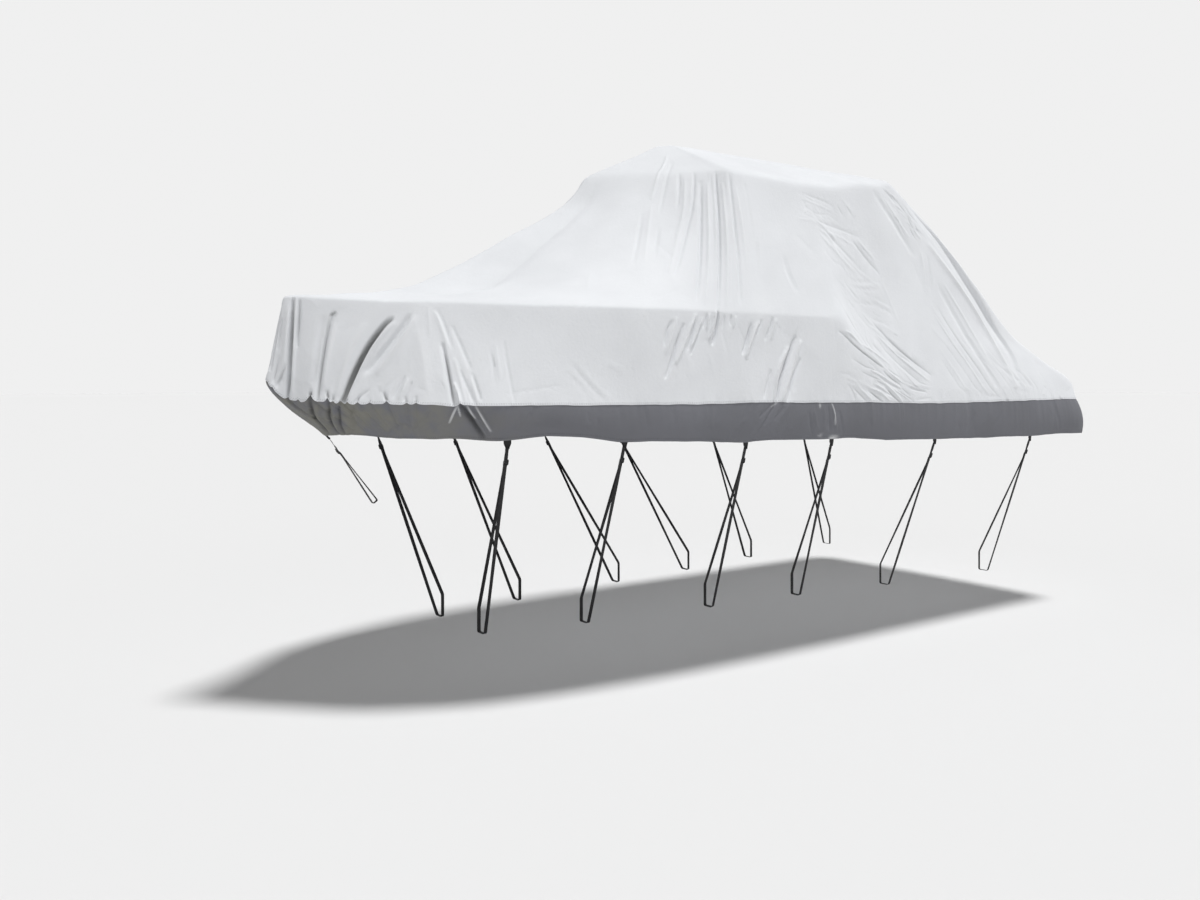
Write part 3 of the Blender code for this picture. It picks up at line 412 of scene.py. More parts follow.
# The same on the skirt band; a course's second number runs from the hem (0) to the seam (1)
BAND_CREASES = (
    (-0.015, 0.014, 0, (1.70, 0.97), (1.32, 0.68), (0.86, 0.38), (0.36, 0.04)),
    (-0.015, 0.012, 0, (2.32, 0.95), (1.72, 0.58), (1.12, 0.22), (0.80, 0.02)),
    (-0.012, 0.011, 0, (2.78, 0.96), (2.06, 0.56), (1.34, 0.16), (1.10, 0.02)),
    (0.010, 0.010, 0, (1.78, 0.86), (1.26, 0.50), (0.66, 0.08)),
    (0.009, 0.008, 0, (2.52, 0.93), (1.82, 0.54), (1.00, 0.06)),
    (-0.010, 0.012, 0, (3.10, 0.90), (2.70, 0.60), (2.30, 0.34)),
    (-0.006, 0.012, 0, (1.28, 0.00), (2.42, 0.30)),
    (-0.007, 0.014, 0, (3.26, 0.06), (3.82, 0.32), (4.08, 0.42), (4.18, 0.16)),
    (-0.006, 0.013, 0, (4.64, 0.80), (4.50, 0.54), (4.22, 0.22)),
    (-0.026, 0.015, 0, (5.08, 1.00), (5.36, 0.66), (5.58, 0.32), (5.74, 0.08)),
    (0.012, 0.011, 0, (5.02, 0.96), (5.02, 0.50)),
    (0.010, 0.008, 0, (5.08, 0.94), (5.20, 0.66)),
    (0.012, 0.010, 0, (5.24, 0.96), (5.48, 0.60)),
    (0.015, 0.010, 0, (5.36, 1.00), (5.56, 0.68), (5.80, 0.28)),
    (-0.009, 0.010, 0, (5.30, 1.00), (5.56, 0.60), (5.78, 0.20)),
    (-0.005, 0.009, 0, (4.84, 0.46), (4.72, 0.10)),
    (-0.005, 0.009, 0, (10.78, 0.96), (10.60, 0.64)),
    (-0.004, 0.009, 0, (11.18, 0.88), (11.10, 0.56)),
    (0.009, 0.009, 0, (12.60, 0.96), (12.70, 0.58), (12.78, 0.24)),
    (-0.009, 0.010, 0, (12.50, 0.86), (12.62, 0.22)),
    (0.005, 0.009, 0, (12.36, 0.86), (12.50, 0.26)),
    (-0.006, 0.010, 0, (11.98, 0.70), (12.24, 0.12)),
    (0.005, 0.010, 0, (12.10, 0.76), (12.34, 0.22)),
    (-0.005, 0.010, 0, (12.84, 0.74), (13.00, 0.08)),
    (-0.004, 0.015, 0, (17.20, 0.68), (17.06, 0.26)),
    (-0.004, 0.016, 0, (17.86, 0.70), (17.70, 0.34)),
    (0.003, 0.014, 0, (17.56, 0.74), (17.42, 0.36)),
    (-0.004, 0.018, 0, (19.30, 0.84), (19.44, 0.18)),
)
# Shade painted deep in the folds of the top cloth and of the band: how dark, half-width, then the course
FOLD_SHADE = (
    (1.05, 0.015, (3.24, 0.82), (3.11, 0.78), (3.00, 0.68), (2.90, 0.55), (2.85, 0.39), (2.83, 0.26),
     (2.84, 0.12), (2.89, 0.00)),
    (0.70, 0.010, (2.86, 0.46), (2.84, 0.26), (2.84, 0.12), (2.88, 0.00)),
    (0.50, 0.009, (2.00, 0.80), (1.97, 0.60), (1.95, 0.40), (1.94, 0.20), (1.96, 0.00)),
    (0.80, 0.008, (2.12, 0.87), (2.00, 0.84)),
    (0.55, 0.008, (0.86, 0.96), (0.92, 0.76), (0.96, 0.49), (0.98, 0.24)),
    (0.25, 0.008, (1.18, 0.95), (1.20, 0.76), (1.20, 0.60)),
    (0.40, 0.007, (-0.08, 0.28), (-0.08, 0.14)),
    (0.25, 0.006, (0.48, 0.28), (0.44, 0.09)),
    (0.35, 0.006, (0.78, 0.28), (0.58, 0.09)),
    (0.45, 0.006, (0.96, 0.24), (0.96, 0.02)),
    (0.55, 0.008, (4.99, 0.48), (5.00, 0.34), (5.00, 0.16), (5.00, 0.00)),
    (0.25, 0.006, (5.42, 0.28), (5.46, 0.07)),
    (0.70, 0.010, (1.71, 0.07), (1.74, 0.00)),
    (0.75, 0.007, (2.25, 0.10), (2.30, 0.05), (2.38, 0.00)),
    (0.50, 0.007, (2.49, 0.05), (2.56, 0.00)),
    (0.50, 0.008, (2.78, 0.05), (2.84, 0.00)),
    (0.35, 0.007, (2.98, 0.035), (3.02, 0.00)),
    (0.40, 0.007, (3.25, 0.05), (3.28, 0.00)),
    (0.30, 0.007, (3.52, 0.03), (3.54, 0.00)),
    (0.55, 0.007, (3.74, 0.11), (3.82, 0.05), (3.88, 0.00)),
    (0.40, 0.007, (4.18, 0.05), (4.20, 0.00)),
    (0.40, 0.007, (4.36, 0.05), (4.36, 0.00)),
    (0.22, 0.006, (9.98, 0.97), (9.72, 0.81), (9.48, 0.66)),
    (0.20, 0.006, (8.66, 0.78), (8.54, 0.64)),
    (0.34, 0.007, (11.88, 0.66), (11.76, 0.56), (11.50, 0.38), (11.12, 0.17), (10.88, 0.02)),
    (0.40, 0.008, (13.20, 0.81), (13.42, 0.79), (13.88, 0.85), (14.34, 0.88), (14.70, 0.91)),
    (0.25, 0.007, (15.40, 1.22), (15.82, 1.17), (16.22, 1.09)),
    (0.40, 0.006, (14.84, 0.74), (15.16, 0.65)),
    (0.40, 0.006, (14.70, 0.30), (14.84, 0.17), (15.02, 0.02)),
    (0.35, 0.006, (13.98, 0.17), (14.14, 0.12), (14.36, 0.02)),
)
BAND_FOLD_SHADE = (
    (0.85, 0.012, (1.70, 0.99), (1.32, 0.68), (0.86, 0.38), (0.40, 0.06)),
    (0.80, 0.008, (2.32, 0.96), (1.72, 0.58), (1.12, 0.22), (0.84, 0.04)),
    (0.70, 0.008, (2.78, 0.97), (2.06, 0.56), (1.34, 0.16), (1.14, 0.04)),
    (0.80, 0.012, (5.10, 1.00), (5.36, 0.66), (5.58, 0.32), (5.72, 0.12)),
)
# Highlights painted as pale lines on the band's sharp folds and puckers: how pale, half-width, then the
# course
PALE_LINES = (
    (0.90, 0.0050, (5.04, 0.98), (5.04, 0.50)),
    (0.90, 0.0040, (5.06, 0.98), (5.20, 0.68)),
    (0.90, 0.0045, (5.22, 0.98), (5.46, 0.64)),
    (0.95, 0.0055, (5.36, 0.98), (5.58, 0.64), (5.80, 0.28)),
    (0.50, 0.0060, (10.90, 0.99), (10.80, 0.88)),
    (0.80, 0.0060, (12.60, 0.97), (12.70, 0.70), (12.72, 0.40)),
    (0.80, 0.0090, (12.22, 0.97), (12.24, 0.88)),
    (0.85, 0.0110, (12.42, 0.13), (12.43, 0.08)),
    (0.95, 0.0130, (12.64, 0.03), (12.84, 0.05)),
)
# Folds of the starboard side, and broad ones round the stern: side (-1 port, 1 starboard), then as in CREASES
FOLDS = (
    (1, -0.022, 0.032, 0.2, (1.60, 0.92), (1.72, 0.55), (2.00, 0.02)),
    (1, 0.020, 0.036, 0, (3.00, 0.95), (2.86, 0.50), (2.67, 0.02)),
    (1, -0.040, 0.034, 0.3, (3.70, 0.92), (3.46, 0.60), (3.33, 0.02)),
    (1, 0.022, 0.034, 0, (5.00, 0.95), (5.20, 0.50), (5.33, 0.02)),
    (1, -0.014, 0.018, 0.3, (4.86, 0.92), (5.06, 0.50), (5.16, 0.05)),
    (1, -0.018, 0.040, 0.2, (8.60, 1.95), (8.40, 1.60), (8.00, 1.04)),
    (1, 0.018, 0.040, 0, (9.50, 1.98), (9.62, 1.50), (9.50, 1.00)),
    (1, -0.018, 0.040, 0.2, (10.5, 1.95), (10.5, 1.50), (10.0, 0.84)),
    (1, -0.013, 0.024, 0.3, (11.2, 1.90), (11.1, 1.50), (10.7, 1.10)),
    (1, 0.020, 0.070, 0, (12.5, 1.85), (13.6, 1.42), (15.0, 1.06)),
    (1, -0.020, 0.060, 0.3, (13.5, 1.85), (14.8, 1.40), (16.5, 1.02)),
    (1, -0.012, 0.022, 0.3, (14.2, 1.74), (15.0, 1.70), (15.9, 1.60)),
    (1, -0.022, 0.060, 0.3, (18.5, 1.95), (18.1, 1.45), (17.0, 0.92)),
    (1, 0.022, 0.060, 0, (20.0, 1.85), (19.9, 1.40), (19.5, 0.92)),
    (1, -0.024, 0.070, 0.2, (22.5, 1.90), (22.4, 1.30), (22.0, 0.62)),
    (-1, 0.022, 0.080, 0, (22.5, 1.90), (22.6, 1.30), (22.5, 0.62)),
    (-1, -0.020, 0.080, 0.2, (23.5, 1.85), (23.6, 1.20), (23.5, 0.52)),
    (-1, 0.014, 0.050, 0, (20.6, 1.86), (20.8, 1.40), (20.6, 1.02)),
    (-1, -0.014, 0.040, 0.3, (21.4, 1.88), (21.6, 1.50), (21.4, 1.08)),
    (1, -0.012, 0.030, 0.3, (23.3, 1.70), (23.2, 1.30), (23.0, 1.00)),
    (1, -0.016, 0.012, 0.2, (0.90, 0.95), (0.98, 0.55), (1.02, 0.02)),
    (1, -0.010, 0.010, 0, (1.90, 0.70), (1.96, 0.30), (1.98, 0.00)),
    (1, -0.018, 0.013, 0.2, (2.70, 0.86), (2.52, 0.50), (2.46, 0.02)),
    (1, 0.008, 0.012, 0, (3.10, 0.80), (2.94, 0.40), (2.90, 0.04)),
    (1, -0.012, 0.011, 0.2, (4.30, 0.60), (4.24, 0.30), (4.20, 0.00)),
    (1, -0.010, 0.010, 0, (5.60, 0.50), (5.50, 0.24), (5.46, 0.00)),
    (1, -0.008, 0.011, 0, (7.20, 0.92), (7.00, 0.60), (6.90, 0.30)),
    (1, -0.010, 0.011, 0, (9.30, 0.96), (9.05, 0.70), (8.90, 0.42)),
    (1, 0.008, 0.011, 0, (9.60, 0.94), (9.36, 0.66), (9.20, 0.40)),
    (1, -0.009, 0.011, 0, (9.95, 0.97), (9.70, 0.72), (9.50, 0.50)),
    (1, -0.012, 0.012, 0.2, (12.6, 0.78), (12.3, 0.40), (11.9, 0.02)),
    (1, 0.009, 0.012, 0, (12.9, 0.74), (12.6, 0.38), (12.2, 0.02)),
    (1, -0.014, 0.012, 0.2, (13.6, 0.84), (14.3, 0.86), (15.0, 0.94)),
    (1, -0.012, 0.012, 0, (15.0, 1.28), (15.8, 1.16), (16.4, 1.04)),
    (1, -0.010, 0.010, 0, (14.8, 0.50), (15.1, 0.24), (15.4, 0.00)),
    (1, 0.009, 0.011, 0, (15.0, 0.66), (15.4, 0.40), (15.7, 0.06)),
    (1, -0.009, 0.010, 0, (14.1, 0.26), (14.5, 0.02)),
    (1, -0.010, 0.013, 0, (8.8, 1.94), (8.9, 1.60), (8.6, 1.28)),
    (1, 0.008, 0.013, 0, (9.2, 1.92), (9.3, 1.56), (9.1, 1.16)),
    (1, -0.011, 0.012, 0, (10.0, 1.95), (10.2, 1.56), (10.0, 1.06)),
    (1, -0.010, 0.012, 0, (10.9, 1.93), (11.1, 1.54), (11.0, 1.12)),
    (1, 0.007, 0.012, 0, (11.3, 1.90), (11.5, 1.60)),
    (1, -0.008, 0.012, 0, (14.6, 1.78), (15.4, 1.62), (16.0, 1.52)),
    (1, -0.010, 0.012, 0, (18.3, 1.36), (18.2, 1.10), (18.1, 0.60)),
    (1, -0.008, 0.012, 0, (17.6, 1.30), (17.6, 1.08), (17.7, 0.60)),
    (1, 0.007, 0.012, 0, (18.0, 1.34), (17.9, 1.10), (17.9, 0.64)),
)


# ---- shaping the cloth -----------------------------------------------------------------------------------
def curve(table, at, column):
    """A smooth curve through one column of a table, with no overshoot between its rows."""
    key = np.array([row[0] for row in table], float)
    value = np.array([row[column] for row in table], float)
    step = np.diff(key)
    slope = np.diff(value) / step
    tangent = np.zeros(len(key))
    if column == 2:
        tangent[0], tangent[-1] = slope[0], slope[-1]
    for i in range(1, len(key) - 1):
        if slope[i - 1] * slope[i] > 0:
            before = 2 * step[i] + step[i - 1]
            after = step[i] + 2 * step[i - 1]
            tangent[i] = (before + after) / (before / slope[i - 1] + after / slope[i])
    at = np.clip(np.asarray(at, float), key[0], key[-1])
    i = np.clip(np.searchsorted(key, at, side="right") - 1, 0, len(step) - 1)
    t = (at - key[i]) / step[i]
    return ((1 + 2 * t) * (1 - t) ** 2 * value[i] + t * (1 - t) ** 2 * step[i] * tangent[i]
            + t * t * (3 - 2 * t) * value[i + 1] + t * t * (t - 1) * step[i] * tangent[i + 1])


def fade(start, end, at):
    """0 before start, 1 after end, with a smooth change between."""
    t = np.clip((at - start) / (end - start), 0, 1)
    return t * t * (3 - 2 * t)


def stepped(table, at):
    """A value that starts with the table's first number and changes smoothly by each of its rows."""
    value = table[0]
    for start, end, change in table[1:]:
        value = value + change * fade(start, end, at)
    return value


def between_rows(table, at):
    """A two-column table read between its rows."""
    return np.interp(at, [row[0] for row in table], [row[1] for row in table])


def girth_line(table, rib):
    """Points on a girth line; port ribs are negative and starboard ribs positive."""
    count = np.abs(rib)
    out = [curve(table, count, 1), np.sign(rib) * curve(table, count, 2), curve(table, count, 3)]
    return np.stack(out, -1)


def seam_line(rib):
    """Points on the seam, which rides up a little on the starboard side of the stem."""
    place, width, lift = NOSE_LIFT
    line = girth_line(SEAM, rib)
    line[..., 2] += lift * np.exp(-((rib - place) / width) ** 2)
    return line


def base_surface(rib, level):
    """The top cloth without its folds, in station terms."""
    rib, level = np.broadcast_arrays(np.asarray(rib, float), np.asarray(level, float))
    seam, rail, eave = seam_line(rib), girth_line(RAIL, rib), girth_line(EAVE, rib)
    wall = np.clip(level, 0, 1)[..., None]
    slope = np.clip(level - 1, 0, 1)[..., None]
    roof = np.clip(level - 2, 0, 1)[..., None]
    point = seam + (rail - seam) * wall + (eave - rail) * slope
    climb = np.minimum(roof / (1 - ROOF_CAP), 1)
    point += (np.array(PEAK) - eave) * np.concatenate([roof, roof, climb], -1)
    up = slope[..., 0]
    bow = 1 - fade(*BOW_RIBS, np.abs(rib))
    hip = fade(*HIP_RIBS, np.abs(rib))
    rise = (eave - rail)[..., 2]
    hang = SIDE_SAG * 4 * up * (1 - up) * (1 - bow) * (1 - hip)
    point[..., 2] -= (bow * curve(BOW_DIP, up, 1) + hip * curve(HIP_DIP, up, 1)) * rise + SAG_DROP * hang
    point[..., 1] -= np.sign(rib) * hang
    return point


def grid_normals(grid):
    """Outward normals of a closed grid (columns round the boat, rows upwards)."""
    along = np.roll(grid, -1, 0) - np.roll(grid, 1, 0)
    up = np.empty_like(grid)
    up[:, 1:-1] = grid[:, 2:] - grid[:, :-2]
    up[:, 0] = grid[:, 1] - grid[:, 0]
    up[:, -1] = grid[:, -1] - grid[:, -2]
    normal = np.cross(up, along)
    return normal / np.maximum(np.linalg.norm(normal, axis=-1, keepdims=True), 1e-12)


def cloth_columns():
    """Rib values once round the boat: from the stern over port, stem and starboard back to the stern."""
    rib = np.linspace(-24, 24, 9601)
    step = between_rows(COLUMN_STEP, rib)
    run = np.linalg.norm(np.diff(seam_line(rib), axis=0), axis=-1)
    count = np.concatenate([[0], np.cumsum(run * 2 / (step[1:] + step[:-1]))])
    whole = int(round(count[-1]))
    return np.interp(np.arange(whole) * count[-1] / whole, count, rib)


def cloth_levels():
    """Level values from the lower edge up to the last row below the peak."""
    rows = [np.linspace(low, high, count, endpoint=False) for low, high, count in ROW_STEPS]
    return np.concatenate(rows + [[ROW_STEPS[-1][1]]])


def soften(grid, level, place, reach, passes=40):
    """Rounds the corner that runs round the boat at one level; reach is a radius for each column."""
    middle = int(np.argmin(np.abs(level - place)))
    climb = np.linalg.norm(np.diff(grid, axis=1), axis=-1)
    up = np.concatenate([np.zeros((len(grid), 1)), np.cumsum(climb, 1)], 1)
    gap = np.abs(up - up[:, middle:middle + 1])
    space = np.maximum((climb[:, 1:] + climb[:, :-1]) / 2, 1e-4)
    weight = np.clip((reach[:, None] / space) ** 2 / (0.5 * passes), 0, 1)
    weight = weight * np.exp(-(gap[:, 1:-1] / (2.4 * reach[:, None])) ** 2)
    out = grid.copy()
    for _ in range(passes):
        mean = (out[:, 2:] + out[:, :-2]) / 2
        out[:, 1:-1] += 0.5 * weight[..., None] * (mean - out[:, 1:-1])
    return out


def rounded_course(course, passes=2):
    """A (rib, level) course with its corners cut twice, ends kept."""
    for _ in range(passes):
        if len(course) < 3:
            return course
        inner = np.empty((2 * (len(course) - 1), 2))
        inner[0::2] = course[:-1] * 0.75 + course[1:] * 0.25
        inner[1::2] = course[:-1] * 0.25 + course[1:] * 0.75
        course = np.concatenate([course[:1], inner[1:-1], course[-1:]])
    return course


def to_course(points, line, keys):
    """Distance from each point to a polyline, the share along it, and the key there."""
    nearest = np.full(points.shape[:-1], np.inf)
    share = np.zeros(points.shape[:-1])
    key = np.zeros(points.shape[:-1])
    lengths = np.linalg.norm(np.diff(line, axis=0), axis=-1)
    total = max(lengths.sum(), 1e-6)
    done = 0.0
    for i, length in enumerate(lengths):
        run = line[i + 1] - line[i]
        t = np.clip(((points - line[i]) @ run) / max(run @ run, 1e-12), 0, 1)
        gap = np.linalg.norm(points - line[i] - t[..., None] * run, axis=-1)
        closer = gap < nearest
        nearest = np.where(closer, gap, nearest)
        share = np.where(closer, (done + t * length) / total, share)
        key = np.where(closer, keys[i] + (keys[i + 1] - keys[i]) * t, key)
        done += length
    return nearest, share, key


def deepened(rise, half_width):
    """Height of a crease as drawn: broad shallow folds are a little deeper, so that soft light shows them."""
    factor, power = DEEPEN
    return rise if half_width < BROAD else math.copysign(factor * abs(rise) ** power, rise)


def press(height, grid, rib, level, surface, rise, half_width, lean, course, power=None):
    """Presses one soft crease into the height map, or raises it; a high power gives it a flat middle."""
    course = rounded_course(np.array(course, float))
    t = np.arange(0, len(course) - 1 + 1e-9, 0.5)
    ribs = np.interp(t, np.arange(len(course)), course[:, 0])
    levels = np.interp(t, np.arange(len(course)), course[:, 1])
    line = surface(ribs, levels)
    low = np.abs(ribs).max() > LOW_RIB and levels.min() < 1
    side = FALLOFF * half_width / RIB_LENGTH
    reach = FALLOFF * half_width / (LOW_LEVEL_LENGTH if low else LEVEL_LENGTH)
    a, b = np.searchsorted(rib, (ribs.min() - side, ribs.max() + side))
    c, d = np.searchsorted(level, (levels.min() - reach, levels.max() + reach))
    if b <= a or d <= c:
        return
    gap, share, key = to_course(grid[a:b, c:d], line, ribs)
    if lean:
        gap = gap * (1 + lean * np.sign(np.abs(rib[a:b, None]) - np.abs(key)))
    ends = BLUNT_END if levels.max() < WALL_TOP else FINE_END
    swell = ends + (1 - ends) * np.sin(np.pi * np.clip(share, 0, 1)) ** 0.5
    power = power or ROUND_POWERS[0 if rise < 0 else 1]
    height[a:b, c:d] += rise * swell * np.exp(-np.abs(gap / half_width) ** power)


def wander(at, length, spacing, seed):
    """A smooth random line between -1 and 1 that closes on itself after length."""
    count = max(int(round(length / spacing)), 4)
    knots = np.random.default_rng(seed).uniform(-1, 1, count)
    place = (at / length) % 1.0 * count
    i = np.floor(place).astype(int)
    t = place - i
    t = t * t * (3 - 2 * t)
    return knots[i % count] * (1 - t) + knots[(i + 1) % count] * t


def waves(rows, run, length, bow):
    """Random lines round the boat laid over each other, each higher towards the bow."""
    total = np.zeros_like(run)
    for spacing, size, more, seed in rows:
        total += wander(run, length, spacing, seed) * (size + more * bow)
    return total


def round_the_boat(rib):
    """Length along the lower edge up to each column, and the whole length."""
    line = seam_line(np.append(rib, 24.0))
    run = np.concatenate([[0], np.cumsum(np.linalg.norm(np.diff(line, axis=0), axis=-1))])
    return run[:-1], run[-1]


def small_creases(seed):
    """Random slight creases: short ones on port and in patches, longer and deeper ones on starboard."""
    rng = np.random.default_rng(seed)
    made = []
    for _ in range(SLIGHT_CREASES):
        rib, level = -rng.uniform(0.3, 20.5), rng.uniform(0.05, 1.95)
        if 1.05 < level and rib > -7.0:
            continue
        drift, climb = rng.normal(0, 0.35), rng.uniform(0.08, 0.30) * (1 if level < 1 else 0.8)
        rise = rng.choice((-1, 1)) * rng.uniform(0.0010, 0.0026)
        made.append((rise, rng.uniform(0.008, 0.018), 0.0,
                     ((rib, level), (rib + drift, min(level + climb, 1.98)))))
    for low, high, bottom, top, count, drift, climb in WRINKLED:
        for _ in range(count):
            rib, level = rng.uniform(low, high), rng.uniform(bottom, top)
            turn = rng.normal(0, 0.12)
            run = rng.uniform(0.6, 1.3)
            middle = (-rib + (drift + turn) * run * 0.5, level + (climb + turn * 0.1) * run * 0.6)
            made.append((rng.choice((-1, 1)) * rng.uniform(0.0008, 0.0022), rng.uniform(0.005, 0.008), 0.0,
                         ((-rib, level), middle, (-rib + (drift + turn) * run, level + climb * run))))
    for _ in range(WALL_CREASES):
        rib, level = rng.uniform(0.6, 23.6), rng.uniform(0.05, 0.70)
        climb = rng.uniform(0.15, 0.35)
        rise = rng.choice((-1, 1)) * rng.uniform(0.003, 0.008)
        made.append((rise, rng.uniform(0.012, 0.026), 0.2,
                     ((rib, level), (rib + rng.normal(0, 0.3), level + climb))))
    for _ in range(SLOPE_CREASES):
        rib, level = rng.uniform(6.5, 23.8), rng.uniform(1.05, 1.80)
        if rng.random() < 0.25:
            rib = -rng.uniform(20.6, 23.9)
        climb = rng.uniform(0.12, 0.45)
        rise = rng.choice((-1, 1)) * rng.uniform(0.003, 0.009)
        bend = rng.normal(0, 0.35)
        made.append((rise, rng.uniform(0.014, 0.034), 0.2,
                     ((rib, level), (rib + bend * 0.4, level + climb * 0.5),
                      (rib + bend, min(level + climb, 1.97)))))
    return made


def top_cloth_grid(strength):
    """The top cloth's outer face as a closed grid, its ribs and levels, its crease heights and painted shade.
    """
    rib, level = cloth_columns(), cloth_levels()
    grid = base_surface(rib[:, None], level[None, :])
    count = np.abs(rib)
    grid = soften(grid, level, 1.0, stepped(RAIL_RADIUS, count), RAIL_PASSES)
    eave = np.where(rib > 0, stepped(EAVE_RADIUS_STARBOARD, count), stepped(EAVE_RADIUS_PORT, count))
    grid = soften(grid, level, 2.0, eave)
    height, painted_shade = np.zeros(grid.shape[:-1]), np.zeros(grid.shape[:-1])

    def draw(mark, rise, half_width, lean, side, course, power=None):
        course = [(side * r, v) for r, v in course]
        press(mark, grid, rib, level, base_surface, rise, half_width, lean, course, power)
    for rise, half_width, lean, *course in CREASES:
        draw(height, deepened(rise, half_width), half_width, lean, -1, course)
    # Shade painted deep in the folds, kept as a mark that darkens the cloth's colour
    for dark, half_width, *course in FOLD_SHADE:
        draw(painted_shade, dark, half_width, 0, -1, course, SHADE_POWER)
    for side, rise, half_width, lean, *course in FOLDS:
        draw(height, rise, half_width, lean, side, course)
    for rise, half_width, lean, course in small_creases(11):
        draw(height, rise, half_width, lean, 1, course)
    run, length = round_the_boat(rib)
    above = np.linalg.norm(grid - grid[:, :1], axis=-1)
    bow = 1 - fade(3.5, 6.0, count)
    for row, reach in zip(PUCKERS, PUCKER_REACH):
        height += waves([row], run, length, bow)[:, None] * np.exp(-above / reach)
    x, _, z = np.moveaxis(grid, -1, 0)
    swell = 0.0
    for size, one, other in SWELLS:
        swell = swell + (np.sin(one[0] * x + one[1] * z + one[2])
                         * np.sin(other[0] * x + other[1] * z + other[2]) * size)
    height += swell * np.minimum(1, np.clip(ROW_STEPS[-1][1] - level, 0, 1) * 6)[None, :]
    height *= strength
    grid = grid + grid_normals(grid) * height[..., None]
    wave = waves(EDGE_WAVES, run, length, bow)
    factor, shift = NOTCH_SHIFT
    for place, lift, half_width in NOTCHES:
        for where, share in ((-place, 1.0), (place * factor + shift, NOTCH_SHARE)):
            gap = np.abs(run - np.interp(where, rib, run)) / half_width
            wave += lift * share * np.exp(-gap ** 1.5)
    grid[..., 2] += wave[:, None] * np.exp(-above / NOTCH_REACH)
    grid[..., 2] += between_rows(SEAM_RISE, count)[:, None] * np.exp(-above / SEAM_REACH)
    return grid, rib, level, {"crease": height, "painted_shade": painted_shade}


def band_surface(cover, cover_rib):
    """A function from (rib, height share) to the band's outer face without its own creases."""
    edge = cover[:, 0] - grid_normals(cover[:, :3])[:, 0] * (CLOTH + GAP)
    hem = girth_line(HEM, cover_rib)
    width, depth = STRAP_PULL
    for strap in STRAPS:
        hem[:, 2] -= depth * np.exp(-((np.abs(cover_rib) - strap[0]) / width) ** 2)
    hem[:, 2] += between_rows(HEM_RISE, np.abs(cover_rib))
    out = np.cross((0, 0, 1), np.roll(hem, -1, 0) - np.roll(hem, 1, 0))
    out /= np.linalg.norm(out, axis=-1, keepdims=True)
    bulge = BAND_BULGE + (STERN_BULGE - BAND_BULGE) * fade(*STERN_RIBS, np.abs(cover_rib))
    bulge += (BOW_BULGE - BAND_BULGE) * (1 - fade(*STEM_RIBS, np.abs(cover_rib)))

    def surface(rib, share):
        """Points at these ribs and shares of the band's height."""
        rib, share = np.broadcast_arrays(np.asarray(rib, float), np.asarray(share, float))
        low, high, away = (np.stack([np.interp(rib, cover_rib, line[:, k]) for k in range(3)], -1)
                           for line in (hem, edge, out))
        swell = np.interp(rib, cover_rib, bulge) * 4 * share * (1 - share)
        swell *= 1 + 0.8 * (2 * share - 1) * (1 - fade(*STEM_RIBS, np.abs(rib)))
        return low + (high - low) * share[..., None] + away * swell[..., None]
    return surface


def up_the_cloth(grid, distance):
    """Points of every column at one distance above the cloth's lower edge."""
    climb = np.linalg.norm(np.diff(grid, axis=1), axis=-1)
    up = np.concatenate([np.zeros((len(grid), 1)), np.cumsum(climb, 1)], 1)
    j = np.maximum((up < distance).sum(1) - 1, 0)
    i = np.arange(len(grid))
    share = ((distance - up[i, j]) / np.maximum(up[i, j + 1] - up[i, j], 1e-9))[:, None]
    return grid[i, j] * (1 - share) + grid[i, j + 1] * share


